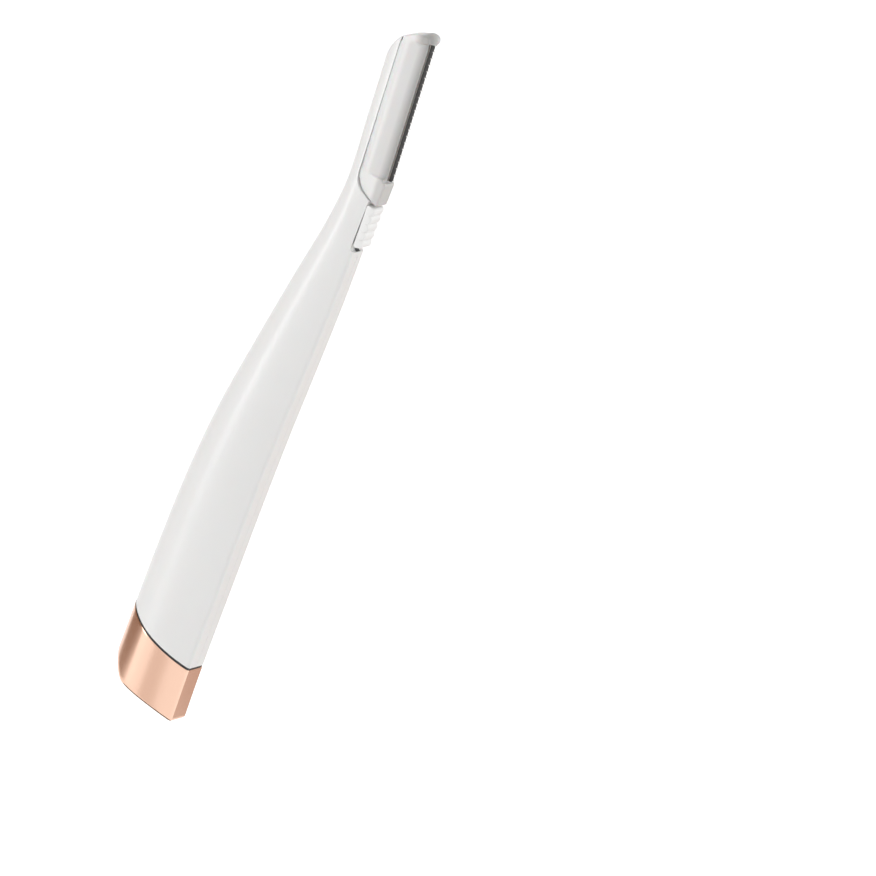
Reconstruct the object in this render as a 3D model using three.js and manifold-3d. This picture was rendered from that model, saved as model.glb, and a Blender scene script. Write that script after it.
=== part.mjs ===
// Battery-lit facial hair remover: a slim wand with a replaceable blade cartridge.
// Millimetres, +Z up along the handle. The blade faces -X, the rounded spine +X,
// the side with the blade clamp -Y. Heights are counted from the lowest corner of
// the end cap, and the finished wand is set so that the origin lies in the grip.
import * as THREE from 'three';
import { mergeVertices } from 'three/addons/utils/BufferGeometryUtils.js';
import Module from 'manifold-3d';

const wasm = await Module();
wasm.setup();

// Driving dimensions of the handle
const GRIP_HEIGHT = 45;
const SHELL_WALL = 1.2;
const SEAM_GAP = 0.3;
const FIT_GAP = 0.3;
const EDGE_ROUND = 0.7;
const EDGE_ROUND_LEAST = 0.15;
const EDGE_ROUND_LOSS = 0.33;
const ROUND_MID_SHARE = 0.3;
const BACK_ARC_STEPS = 14;
const RINGS = 40;
const HOLLOW_RINGS = 30;
const CAP_RINGS = 14;
const SEAM_STEPS = 12;
const ROD_SIDES = 20;
const CELL_SIDES = 28;
const ARC_SEGMENTS = 8;
const WELD_DISTANCE = 1e-4;

// Foot of the cutting edge, which places the head and all that lies in the neck
const EDGE_FOOT = { x: -13.7, height: 122.2 };

// Sections of the outer form: front edge, spine, spine radius and width of the narrow front face.
// The grip's heights are counted from the cap, the neck's upwards or downwards from the edge's foot.
const SECTION_SOLE = { height: -4, front: -11.3, spine: 5.95, radius: 7.0, face: 7.4 };
const SECTION_CAP = { height: 12, front: -10.95, spine: 5.95, radius: 7.0, face: 7.4 };
const SECTION_GRIP = { height: 30, front: -11.0, spine: 5.95, radius: 7.0, face: 7.2 };
const SECTION_PALM = { height: 48, front: -11.05, spine: 5.5, radius: 7.0, face: 7.0 };
const SECTION_WAIST = { drop: 58.2, front: -11.3, spine: 4.2, radius: 6.7, face: 6.7 };
const SECTION_TAPER = { drop: 42.2, front: -11.85, spine: 1.7, radius: 5.8, face: 6.3 };
const SECTION_FINGER = { drop: 26.2, front: -12.3, spine: -1.1, radius: 4.9, face: 5.8 };
const SECTION_THUMB = { drop: 12.2, front: -12.3, spine: -3.7, radius: 4.0, face: 5.4 };
const SECTION_NECK = { drop: 2.2, front: -12.1, spine: -4.6, radius: 3.1, face: 5.0 };
const SECTION_HEAD = { rise: 11.8, front: -11.3, spine: -3.8, radius: 2.6, face: 4.8 };
const SECTION_TIP = { rise: 35.8, front: -9.9, spine: -2.4, radius: 2.6, face: 4.8 };
const belowFoot = (section) => ({ ...section, height: EDGE_FOOT.height - section.drop });
const aboveFoot = (section) => ({ ...section, height: EDGE_FOOT.height + section.rise });
const STATIONS = [
  SECTION_SOLE,
  SECTION_CAP,
  SECTION_GRIP,
  SECTION_PALM,
  belowFoot(SECTION_WAIST),
  belowFoot(SECTION_TAPER),
  belowFoot(SECTION_FINGER),
  belowFoot(SECTION_THUMB),
  belowFoot(SECTION_NECK),
  aboveFoot(SECTION_HEAD),
  aboveFoot(SECTION_TIP),
];

// End cap: its slanted base, its heel and the swept seam above it
const BASE_CORNER_X = -11.2;
const BASE_SLOPE = 0.33;
const HEEL_RADIUS = 4.5;
const SEAM_FRONT_HEIGHT = 11.7;
const SEAM_SLOPE = 0.27;
const SEAM_SWEEP = 0.0137;
const CAP_WALL = 1.2;
const CAP_FLOOR = 1.4;
const INSERT_RIM_DROP = 0.6;
const TONGUE_RISE = 7;
const TONGUE_THICKNESS = 0.8;
const TONGUE_WIDTH = 4.4;

// Cell, spring and contacts
const CELL_DIAMETER = 10.5;
const CELL_LENGTH = 44.5;
const CELL_BOTTOM = 13;
const CELL_X = -1.9;
const CELL_STRIP_GAP = 0.4;
const CELL_SHOULDER = 0.9;
const CELL_CHAMFER = 0.4;
const TERMINAL_DIAMETER = 3.8;
const TERMINAL_HEIGHT = 1.0;
const TERMINAL_CHAMFER = 0.2;
const SPRING_WIRE = 0.5;
const SPRING_TURNS = 3;
const SPRING_WIDE_RADIUS = 3.8;
const SPRING_NARROW_RADIUS = 1.6;
const SPRING_HEIGHT = 3.6;
const SPRING_STEPS_PER_TURN = 8;
const SPRING_RINGS_PER_STEP = 2;
const SPRING_SAMPLES_PER_STEP = 6;
const SPRING_SECTION_SEGMENTS = 3;
const CONTACT_SHEET = 0.3;
const CONTACT_PLATE_RADIUS = 4.4;
const STRIP_WIDTH = 3;
const LEAF_SIZE = 4.6;
const ARM_RISE = 6;
const STRIP_LAP = 3;

// Chassis, circuit board and what it carries
const BULKHEAD_THICKNESS = 2;
const BOARD_THICKNESS = 1;
const BOARD_WIDTH = 3.7;
const BOARD_FRONT = -9.2;
const BOARD_DROP = 10.2;
const BACKING_THICKNESS = 1.2;
const BACKING_DROP = 17.2;
const DRIVER_CHIP = { width: 2.6, height: 3.0, thickness: 1.1, rise: 13.6 };
const CAPACITOR = { width: 2.0, height: 1.3, thickness: 1.0, rise: 19.6 };
const INDUCTOR_DIAMETER = 3.2;
const INDUCTOR_THICKNESS = 1.4;
const INDUCTOR_RISE = 7.1;
const LED_DIAMETER = 3;
const LED_FLANGE_DIAMETER = 3.5;
const LED_FLANGE = 0.8;
const LED_LENGTH = 4.2;
const LED_DOME_STEPS = 5;
const LED_X = -7.4;
const LENS_DIAMETER = 2.6;
const LENS_LENGTH = 2.6;

// Thumb slider on the narrow front face
const SLIDER_LENGTH = 9.0;
const SLIDER_RISE = 1.15;
const SLIDER_DROP = 5.7;
const SLIDER_SCALLOPS = 5;
const SCALLOP_DEPTH = 0.45;
const SCALLOP_BULGE = 0.15;
const SCALLOP_PULL = 0.15;
const SLIDER_TRAVEL = 1;
const RECESS_DEPTH = 0.8;
const SWITCH_HOUSING = { depth: 1.5, width: 3, height: 7 };
const SWITCH_SLOT_DEPTH = 0.9;
const KNOB_WIDTH = 0.8;
const KNOB_LENGTH = 1.8;
const KNOB_BITE = 0.7;

// Head frame: w runs from the cutting edge to the spine, v up along the blade
const HEAD_LEAN = THREE.MathUtils.degToRad(3.2);
const BLADE_LENGTH = 30.2;
const BLADE_WIDTH = 4.4;
const BLADE_THICKNESS = 0.25;
const BLADE_BEVEL = 0.9;
const BLADE_PLANE = -0.55;
const FRAME_THICKNESS = 5.0;
const FRAME_BACK = 6.4;
const FRAME_EDGE = 0.95;
const FRAME_EDGE_HALF = 0.6;
const BEVEL_START = 4.4;
const BEVEL_END_LAND = 0.8;
const NECK_LINE = { wFront: 1.65, vFront: -5.1, slope: 0.62, wTurn: 4.0, vBack: 0.6 };
const NECK_STEPS = 8;
const CHIN = { w: 0.5, v: -5.4, topW: 0.1, top: -0.25 };
const NOSE = { w: 0.7, lift: 1.25, reach: 1.4, rise: 1.0, half: 1.6 };
const CROWN = { front: 0.7, turn: 1.9, pull: 4.2, back: 5.2 };
const CROWN_LIFT = { low: 0.4, rise: 0.8, top: 1.5, shoulder: 0.3 };
const WINDOW_BACK = 4.9;
const WINDOW_FLOOR = -0.1;
const RAIL_GROOVES = [5.45, 6.0];
const RAIL_GROOVE_WIDTH = 0.25;
const RAIL_GROOVE_DEPTH = 0.3;
const HEAD_TOP = { w: 5.6, lift: 0.3, pullW: 8.8, pullDrop: 0.7, backW: 9.4, backDrop: 5.8 };
const TONGUE_NECK = { width: 1.0, length: 0.85 };
const TONGUE_HEAD = { width: 2.0, length: 0.6 };
const TONGUE_SPAN = { from: 2.5, drop: 3.2 };

// Blade clamp, its stakes and the guard along the cutting edge
const CLAMP_THICKNESS = 0.6;
const CLAMP_FRONT = 1.9;
const CLAMP_DROP = 1.8;
const CLAMP_FOOT_V = 0.3;
const CLAMP_TIP = { w: 3.3, v: -0.1 };
const CLAMP_SHOULDER_V = 1.4;
const TIP_ROOM = 0.6;
const CLAMP_RIB = { w: 2.5, width: 0.7, from: 7, drop: 5.2, height: 0.35 };
const CLAMP_SLOT = { w: 3.75, from: 8, to: 13.2, width: 1.2 };
const STAKE_LARGE = { w: 3.15, head: 2.7, shank: 1.5 };
const STAKE_SMALL = { w: 3.7, head: 0.9, shank: 0.6 };
const STAKE_LOWER_RISE = 3.6;
const STAKE_UPPER_DROP = 3.9;
const STAKE_PIN_DROP = 8.4;
const STAKE_HEAD_HEIGHT = 0.5;
const STAKE_DEPTH = 0.7;
const STAKE_CROWN_SHARE = 0.75;
const GUARD_PITCH = 1.41;
const GUARD_WIRE = 0.3;
const GUARD_REACH = 0.45;
const GUARD_GAP = 0.15;
const GUARD_BEND = 0.2;
const GUARD_TIP_HALF = 0.12;
const GUARD_RAIL = { w: 1.1, width: 0.4 };
const GUARD_SHORT_LEG = 0.6;

// Sizes that follow from the ones above
const CELL_RADIUS = CELL_DIAMETER / 2;
const BORE_RADIUS = CELL_RADIUS + FIT_GAP;
const CELL_TOP = CELL_BOTTOM + CELL_LENGTH;
const SPRING_TOP = CELL_BOTTOM - FIT_GAP;
const SPRING_BOTTOM = SPRING_TOP - SPRING_HEIGHT;
const PLATE_TOP = SPRING_BOTTOM - FIT_GAP;
const PLATE_BOTTOM = PLATE_TOP - CONTACT_SHEET;
const POCKET_FLOOR = PLATE_BOTTOM - FIT_GAP;
const STRIP_BACK = CELL_X - CELL_RADIUS - CELL_STRIP_GAP;
const ARM_BACK = STRIP_BACK - CONTACT_SHEET - FIT_GAP;
const TONGUE_BACK = ARM_BACK - CONTACT_SHEET - FIT_GAP;
const SEAM_AT_ARM = seamHeight(ARM_BACK);
const STRIP_BOTTOM = SEAM_AT_ARM + ARM_RISE - STRIP_LAP;
const LOWEST_SHELL = SEAM_FRONT_HEIGHT / 2;
const POSITIVE_BOTTOM = CELL_TOP + FIT_GAP;
const BULKHEAD_BOTTOM = POSITIVE_BOTTOM + CONTACT_SHEET + FIT_GAP;
const BULKHEAD_TOP = BULKHEAD_BOTTOM + BULKHEAD_THICKNESS;
const BOARD_BOTTOM = BULKHEAD_TOP + FIT_GAP;
const BOARD_MID = BOARD_FRONT + BOARD_WIDTH / 2;
const BOARD_TOP = EDGE_FOOT.height - BOARD_DROP;
const BACKING_TOP = EDGE_FOOT.height - BACKING_DROP;
const SLIDER_TOP = EDGE_FOOT.height - SLIDER_DROP;
const SLIDER_BOTTOM = SLIDER_TOP - SLIDER_LENGTH;
const SLIDER_MID = SLIDER_TOP - SLIDER_LENGTH / 2;
const SLIDER_WIDTH = stationAt(SLIDER_MID).face;
const SWITCH_FRONT = stationAt(SLIDER_MID).front + SHELL_WALL + FIT_GAP;
const KNOB_MID = SLIDER_MID;
const CROWN_LOW = BLADE_LENGTH + CROWN_LIFT.low;
const CROWN_TOP = BLADE_LENGTH + CROWN_LIFT.top;
const CROWN_SHOULDER = BLADE_LENGTH + CROWN_LIFT.shoulder;
const HEAD_END = BLADE_LENGTH + HEAD_TOP.lift;
const HEAD_BACK_END = BLADE_LENGTH - HEAD_TOP.backDrop;
const CLAMP_TOP = BLADE_LENGTH - CLAMP_DROP;
const STAKES = [
  { ...STAKE_LARGE, name: 'stake_lower', v: STAKE_LOWER_RISE },
  { ...STAKE_LARGE, name: 'stake_upper', v: BLADE_LENGTH - STAKE_UPPER_DROP },
  { ...STAKE_SMALL, name: 'stake_pin', v: BLADE_LENGTH - STAKE_PIN_DROP },
];
const GUARD_BARS = Math.floor(BLADE_LENGTH / GUARD_PITCH) + 1;
const GUARD_BACK = GUARD_RAIL.w + GUARD_RAIL.width / 2;
const CLAMP_INNER = BLADE_PLANE - BLADE_THICKNESS / 2 - FIT_GAP;
const CLAMP_OUTER = CLAMP_INNER - CLAMP_THICKNESS;

// Colours and finishes of the materials
const FINISHES = {
  white_plastic: { color: 0xe4e2e0, roughness: 0.38, metalness: 0 },
  rose_gold: { color: 0xd9a58c, roughness: 0.24, metalness: 0.9 },
  inner_plastic: { color: 0xd8d6d2, roughness: 0.55, metalness: 0 },
  nickel: { color: 0xb9b7b0, roughness: 0.3, metalness: 1 },
  spring_steel: { color: 0xa4a6a8, roughness: 0.3, metalness: 1 },
  frosted_clear: { color: 0xd6cec6, roughness: 0.5, metalness: 0 },
  blade_steel: { color: 0x6f6a66, roughness: 0.22, metalness: 1 },
  guard_steel: { color: 0xd4d0ca, roughness: 0.35, metalness: 1 },
  board_green: { color: 0x1f5a3a, roughness: 0.6, metalness: 0 },
  black_plastic: { color: 0x1c1c1e, roughness: 0.5, metalness: 0 },
  ceramic: { color: 0xb89a70, roughness: 0.6, metalness: 0 },
  clear_lens: { color: 0xf2f0ea, roughness: 0.1, metalness: 0 },
  cell_jacket: { color: 0x3a4650, roughness: 0.4, metalness: 0.2 },
};

// Height of the seam between cap and handle at a place along X
function seamHeight(x) {
  const back = x - BASE_CORNER_X;
  return SEAM_FRONT_HEIGHT + SEAM_SLOPE * back + SEAM_SWEEP * back * back;
}

// Smooth value of one station field at a height
function stationAt(height) {
  let index = 0;
  while (index < STATIONS.length - 2 && height > STATIONS[index + 1].height) index += 1;
  const before = STATIONS[Math.max(index - 1, 0)];
  const low = STATIONS[index];
  const high = STATIONS[index + 1];
  const after = STATIONS[Math.min(index + 2, STATIONS.length - 1)];
  const span = high.height - low.height;
  const t = (height - low.height) / span;
  const blend = (field) => {
    const slopeLow = (high[field] - before[field]) / (high.height - before.height);
    const slopeHigh = (after[field] - low[field]) / (after.height - low.height);
    const t2 = t * t;
    const t3 = t2 * t;
    return (2 * t3 - 3 * t2 + 1) * low[field] + (t3 - 2 * t2 + t) * span * slopeLow
      + (3 * t2 - 2 * t3) * high[field] + (t3 - t2) * span * slopeHigh;
  };
  return {
    height,
    front: blend('front'),
    spine: blend('spine'),
    radius: blend('radius'),
    face: blend('face'),
  };
}

// Tilt of a wide side and the angle where it leaves the round spine
function sideTilt(station) {
  const centre = station.spine - station.radius;
  const ahead = station.front - centre;
  const half = station.face / 2;
  const leave = Math.atan2(half, ahead) - Math.acos(station.radius / Math.hypot(ahead, half));
  return { centre, leave, tilt: leave - Math.PI / 2 };
}

// The same station with its whole outline moved inwards
function insetStation(station, wall) {
  const { tilt } = sideTilt(station);
  const half = station.face / 2 + wall * Math.tan(tilt) - wall / Math.cos(tilt);
  return {
    height: station.height,
    front: station.front + wall,
    spine: station.spine - wall,
    radius: station.radius - wall,
    face: 2 * half,
  };
}

// Outline of a section, counter-clockwise: round spine, flat sides, narrow front face
function sectionPoints(station, round) {
  const { centre, leave } = sideTilt(station);
  const points = [];
  for (let step = 0; step <= BACK_ARC_STEPS; step += 1) {
    const angle = leave * (2 * step / BACK_ARC_STEPS - 1);
    points.push(new THREE.Vector2(
      centre + station.radius * Math.cos(angle),
      station.radius * Math.sin(angle),
    ));
  }
  const half = station.face / 2;
  const upper = new THREE.Vector2(station.front, half);
  const alongSide = points[points.length - 1].clone().sub(upper).normalize();
  const alongFace = new THREE.Vector2(0, -1);
  const mid = ROUND_MID_SHARE * round;
  const softened = [
    upper.clone().addScaledVector(alongSide, round),
    upper.clone().addScaledVector(alongSide, mid).addScaledVector(alongFace, mid),
    upper.clone().addScaledVector(alongFace, round),
  ];
  const mirrored = softened.map((point) => new THREE.Vector2(point.x, -point.y)).reverse();
  return [...points, ...softened, ...mirrored];
}

// Closed body through rings of equal point counts, with flat ends
function loft(rings) {
  const count = rings[0].length;
  const positions = rings.flat().flatMap((point) => [point.x, point.y, point.z]);
  const faces = [];
  for (let ring = 0; ring < rings.length - 1; ring += 1) {
    for (let side = 0; side < count; side += 1) {
      const a = ring * count + side;
      const b = ring * count + (side + 1) % count;
      faces.push(a, b, b + count, a, b + count, a + count);
    }
  }
  const last = (rings.length - 1) * count;
  const flat = (ring) => ring.map((point) => new THREE.Vector2(point.x, point.y));
  for (const [a, b, c] of THREE.ShapeUtils.triangulateShape(flat(rings[0]), [])) {
    faces.push(c, b, a);
  }
  for (const [a, b, c] of THREE.ShapeUtils.triangulateShape(flat(rings[rings.length - 1]), [])) {
    faces.push(last + a, last + b, last + c);
  }
  const geometry = new THREE.BufferGeometry();
  geometry.setAttribute('position', new THREE.Float32BufferAttribute(positions, 3));
  geometry.setIndex(faces);
  return geometry;
}

// The wand's outer form moved inwards by a wall, between two heights
function form(wall, from, to, rings = RINGS) {
  const list = [];
  for (let ring = 0; ring <= rings; ring += 1) {
    const height = from + (to - from) * ring / rings;
    const station = insetStation(stationAt(height), wall);
    const round = Math.max(EDGE_ROUND - EDGE_ROUND_LOSS * wall, EDGE_ROUND_LEAST);
    list.push(sectionPoints(station, round).map((p) => new THREE.Vector3(p.x, p.y, height)));
  }
  return solid(loft(list));
}

// Solids for joining and cutting, and back to a geometry
function solid(geometry) {
  const plain = geometry.clone();
  plain.deleteAttribute('normal');
  plain.deleteAttribute('uv');
  const merged = mergeVertices(plain, WELD_DISTANCE);
  return new wasm.Manifold(new wasm.Mesh({
    numProp: 3,
    vertProperties: new Float32Array(merged.attributes.position.array),
    triVerts: new Uint32Array(merged.index.array),
  }));
}

function geometryOf(body) {
  const mesh = body.getMesh();
  const geometry = new THREE.BufferGeometry();
  geometry.setAttribute('position', new THREE.Float32BufferAttribute(mesh.vertProperties, 3));
  geometry.setIndex(new THREE.Uint32BufferAttribute(mesh.triVerts, 1));
  geometry.computeVertexNormals();
  return geometry;
}

// Building blocks: a box between two corners, a side outline swept along Y, upright and sideways rods
function block(x0, x1, y0, y1, z0, z1) {
  const geometry = new THREE.BoxGeometry(x1 - x0, y1 - y0, z1 - z0);
  return geometry.translate((x0 + x1) / 2, (y0 + y1) / 2, (z0 + z1) / 2);
}

function slab(shape, y0, y1) {
  const geometry = new THREE.ExtrudeGeometry(shape, {
    depth: y1 - y0,
    bevelEnabled: false,
    curveSegments: ARC_SEGMENTS,
  });
  return geometry.rotateX(Math.PI / 2).translate(0, y1, 0);
}

function uprightRod(radius, z0, z1, x = 0) {
  const geometry = new THREE.CylinderGeometry(radius, radius, z1 - z0, ROD_SIDES);
  return geometry.rotateX(Math.PI / 2).translate(x, 0, (z0 + z1) / 2);
}

function sidewaysRod(radius, y0, y1, x, z) {
  const geometry = new THREE.CylinderGeometry(radius, radius, y1 - y0, ROD_SIDES);
  return geometry.translate(x, (y0 + y1) / 2, z);
}

function outline(points) {
  return new THREE.Shape(points.map(([x, y]) => new THREE.Vector2(x, y)));
}

function piece(name, finish, geometry) {
  const mesh = new THREE.Mesh(geometry, new THREE.MeshStandardMaterial(FINISHES[finish]));
  mesh.name = name;
  return mesh;
}

// Cutting regions far larger than the wand
const FAR = 60;
const LOW = -30;
const HIGH = 220;
const PAST = 3;
const LAP = 0.5;
const SEAM_FROM = BASE_CORNER_X - PAST;
const SEAM_TO = STATIONS[0].spine + 2 * PAST;
const CAP_FROM = STATIONS[0].height + LAP;
const CAP_TO = CELL_BOTTOM + CELL_LENGTH / 2;

// Everything above the seam, moved up or down by a gap
function aboveSeam(shift) {
  const shape = new THREE.Shape();
  shape.moveTo(-FAR, HIGH);
  shape.lineTo(-FAR, seamHeight(SEAM_FROM) + shift);
  for (let step = 0; step <= SEAM_STEPS; step += 1) {
    const x = SEAM_FROM + (SEAM_TO - SEAM_FROM) * step / SEAM_STEPS;
    shape.lineTo(x, seamHeight(x) + shift);
  }
  shape.lineTo(FAR, seamHeight(SEAM_TO) + shift);
  shape.lineTo(FAR, HIGH);
  return solid(slab(shape, -FAR, FAR));
}

// Everything above the slanted base and its rounded heel, with the floor moved inwards
function aboveBase(inwards) {
  const lean = Math.atan(BASE_SLOPE);
  const spine = stationAt(CELL_BOTTOM).spine - inwards;
  const lift = inwards / Math.cos(lean);
  const base = (x) => BASE_SLOPE * (x - BASE_CORNER_X) + lift;
  const radius = HEEL_RADIUS - inwards;
  const centreX = spine - radius;
  const touchX = centreX + radius * Math.sin(lean);
  const centreZ = base(touchX) + radius * Math.cos(lean);
  const shape = new THREE.Shape();
  shape.moveTo(-FAR, HIGH);
  shape.lineTo(-FAR, base(-FAR));
  shape.lineTo(touchX, base(touchX));
  shape.absarc(centreX, centreZ, radius, lean - Math.PI / 2, 0, false);
  shape.lineTo(FAR, centreZ);
  shape.lineTo(FAR, HIGH);
  return solid(slab(shape, -FAR, FAR));
}

// Head frame to wand frame
const headMatrix = new THREE.Matrix4()
  .makeTranslation(EDGE_FOOT.x, 0, EDGE_FOOT.height)
  .multiply(new THREE.Matrix4().makeRotationY(HEAD_LEAN));

function headSolid(geometry) {
  return solid(geometry.clone().applyMatrix4(headMatrix));
}

// Line under the cartridge: slanted in front, then turning up into the frame's back
function neckLine(w) {
  return NECK_LINE.vFront + NECK_LINE.slope * (w - NECK_LINE.wFront);
}

// Points of that line from front to back, moved down and back by a gap
function neckPoints(gap) {
  const back = FRAME_BACK + gap;
  const drop = gap * Math.hypot(1, NECK_LINE.slope);
  const turn = new THREE.Vector2(NECK_LINE.wTurn, neckLine(NECK_LINE.wTurn) - drop);
  const corner = new THREE.Vector2(back, neckLine(back) - drop);
  const end = new THREE.Vector2(back, NECK_LINE.vBack);
  const bend = new THREE.QuadraticBezierCurve(turn, corner, end);
  return bend.getPoints(NECK_STEPS).map((point) => [point.x, point.y]);
}

// Everything under that line, moved down by a gap
function belowNeckLine(gap) {
  const points = neckPoints(gap);
  const drop = gap * Math.hypot(1, NECK_LINE.slope);
  return outline([
    [-FAR, neckLine(-FAR) - drop],
    [-FAR, -HIGH],
    [FAR, -HIGH],
    [FAR, NECK_LINE.vBack],
    ...points.reverse(),
  ]);
}

// Space that the cartridge takes out of the head, with its tongue's groove
function cartridgeRoom() {
  const drop = FIT_GAP * Math.hypot(1, NECK_LINE.slope);
  const room = headSolid(slab(outline([
    [-FAR, neckLine(-FAR) - drop],
    ...neckPoints(FIT_GAP),
    [FRAME_BACK + FIT_GAP, FAR],
    [-FAR, FAR],
  ]), -FAR, FAR));
  const neckHalf = TONGUE_NECK.width / 2 + FIT_GAP;
  const headHalf = TONGUE_HEAD.width / 2 + FIT_GAP;
  const headFrom = FRAME_BACK + TONGUE_NECK.length - FIT_GAP;
  const headTo = FRAME_BACK + TONGUE_NECK.length + TONGUE_HEAD.length + FIT_GAP;
  const low = TONGUE_SPAN.from - FIT_GAP;
  const neckGroove = headSolid(block(FRAME_BACK, headFrom + FIT_GAP, -neckHalf, neckHalf, low, FAR));
  const headGroove = headSolid(block(headFrom, headTo, -headHalf, headHalf, low, FAR));
  return room.add(neckGroove).add(headGroove);
}

// Rounded top of the head, seen from the side
function headProfile() {
  const shape = new THREE.Shape();
  shape.moveTo(-FAR, -HIGH);
  shape.lineTo(2 * FAR, -HIGH);
  shape.lineTo(2 * FAR, HEAD_BACK_END - FAR);
  shape.lineTo(HEAD_TOP.backW + FAR, HEAD_BACK_END - FAR);
  shape.lineTo(HEAD_TOP.backW, HEAD_BACK_END);
  shape.quadraticCurveTo(HEAD_TOP.pullW, BLADE_LENGTH - HEAD_TOP.pullDrop, HEAD_TOP.w, HEAD_END);
  shape.lineTo(-FAR, HEAD_END);
  return headSolid(slab(shape, -FAR, FAR));
}

// Front face of the neck, where the slider lies
function faceX(height) {
  return stationAt(height).front;
}

// Handle shells, split along the middle
function handleShells() {
  const outer = form(0, LOWEST_SHELL, EDGE_FOOT.height + HEAD_END + PAST);
  const hollowTop = belowNeckLine(SHELL_WALL + FIT_GAP);
  const hollow = form(SHELL_WALL, LOWEST_SHELL - PAST, EDGE_FOOT.height, HOLLOW_RINGS)
    .intersect(headSolid(slab(hollowTop, -FAR, FAR)));
  const recess = solid(block(
    faceX(SLIDER_MID) - PAST,
    faceX(SLIDER_MID) + RECESS_DEPTH,
    -FAR,
    FAR,
    SLIDER_BOTTOM - SLIDER_TRAVEL - FIT_GAP,
    SLIDER_TOP + FIT_GAP,
  ));
  const slotHalf = KNOB_WIDTH / 2 + FIT_GAP;
  const slot = solid(block(
    faceX(SLIDER_MID) - PAST,
    faceX(SLIDER_MID) + PAST,
    -slotHalf,
    slotHalf,
    KNOB_MID - KNOB_LENGTH / 2 - SLIDER_TRAVEL - FIT_GAP,
    KNOB_MID + KNOB_LENGTH / 2 + FIT_GAP,
  ));
  const lensHole = headSolid(lensRod(LENS_DIAMETER / 2 + FIT_GAP, PAST, PAST));
  const whole = outer
    .intersect(headProfile())
    .intersect(aboveSeam(SEAM_GAP / 2))
    .subtract(hollow)
    .subtract(cartridgeRoom())
    .subtract(recess)
    .subtract(slot)
    .subtract(lensHole);
  const sideA = whole.intersect(solid(block(-FAR, FAR, SEAM_GAP / 2, FAR, LOW, HIGH)));
  const sideB = whole.intersect(solid(block(-FAR, FAR, -FAR, -SEAM_GAP / 2, LOW, HIGH)));
  return [
    piece('shell_side_a', 'white_plastic', geometryOf(sideA)),
    piece('shell_side_b', 'white_plastic', geometryOf(sideB)),
  ];
}

// Rod for the light window in the head frame, along the blade
function lensRod(radius, below, above) {
  const w = LED_X - EDGE_FOOT.x;
  const top = neckLine(w);
  return uprightRod(radius, top - LENS_LENGTH - below, top + above, w);
}

// Rose gold cap: an outer shell open at the seam
function capShell() {
  const outer = form(0, CAP_FROM, CAP_TO, CAP_RINGS).intersect(aboveBase(0));
  const inner = form(CAP_WALL, CAP_FROM, CAP_TO + PAST, CAP_RINGS).intersect(aboveBase(CAP_FLOOR));
  const shell = outer.subtract(inner).subtract(aboveSeam(-SEAM_GAP / 2));
  return piece('end_cap_shell', 'rose_gold', geometryOf(shell));
}

// White insert that fills the cap, seats the cell and plugs into the handle
function capInsert() {
  const wall = CAP_WALL + FIT_GAP;
  const body = form(wall, CAP_FROM, CAP_TO, CAP_RINGS)
    .intersect(aboveBase(CAP_FLOOR + FIT_GAP))
    .subtract(aboveSeam(-INSERT_RIM_DROP));
  const tongueFront = TONGUE_BACK - TONGUE_THICKNESS;
  const tongue = solid(block(
    tongueFront,
    TONGUE_BACK,
    -TONGUE_WIDTH / 2,
    TONGUE_WIDTH / 2,
    POCKET_FLOOR,
    seamHeight(TONGUE_BACK) + TONGUE_RISE,
  ));
  const armHalf = STRIP_WIDTH / 2 + FIT_GAP;
  const armSlot = solid(block(
    ARM_BACK - CONTACT_SHEET - FIT_GAP,
    0,
    -armHalf,
    armHalf,
    POCKET_FLOOR,
    HIGH,
  ));
  const insert = body
    .add(tongue)
    .subtract(solid(uprightRod(BORE_RADIUS, SPRING_TOP, HIGH, CELL_X)))
    .subtract(solid(uprightRod(CONTACT_PLATE_RADIUS + FIT_GAP, POCKET_FLOOR, HIGH, CELL_X)))
    .subtract(armSlot);
  return piece('cap_insert', 'inner_plastic', geometryOf(insert));
}

// Contact under the spring, with an arm that reaches the strip in the handle
function capContact() {
  const plate = solid(uprightRod(CONTACT_PLATE_RADIUS, PLATE_BOTTOM, PLATE_TOP, CELL_X));
  const foot = solid(block(
    ARM_BACK - CONTACT_SHEET,
    0,
    -STRIP_WIDTH / 2,
    STRIP_WIDTH / 2,
    PLATE_BOTTOM,
    PLATE_TOP,
  ));
  const arm = solid(block(
    ARM_BACK - CONTACT_SHEET,
    ARM_BACK,
    -STRIP_WIDTH / 2,
    STRIP_WIDTH / 2,
    PLATE_BOTTOM,
    SEAM_AT_ARM + ARM_RISE,
  ));
  return piece('cap_contact', 'nickel', geometryOf(plate.add(foot).add(arm)));
}

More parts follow.
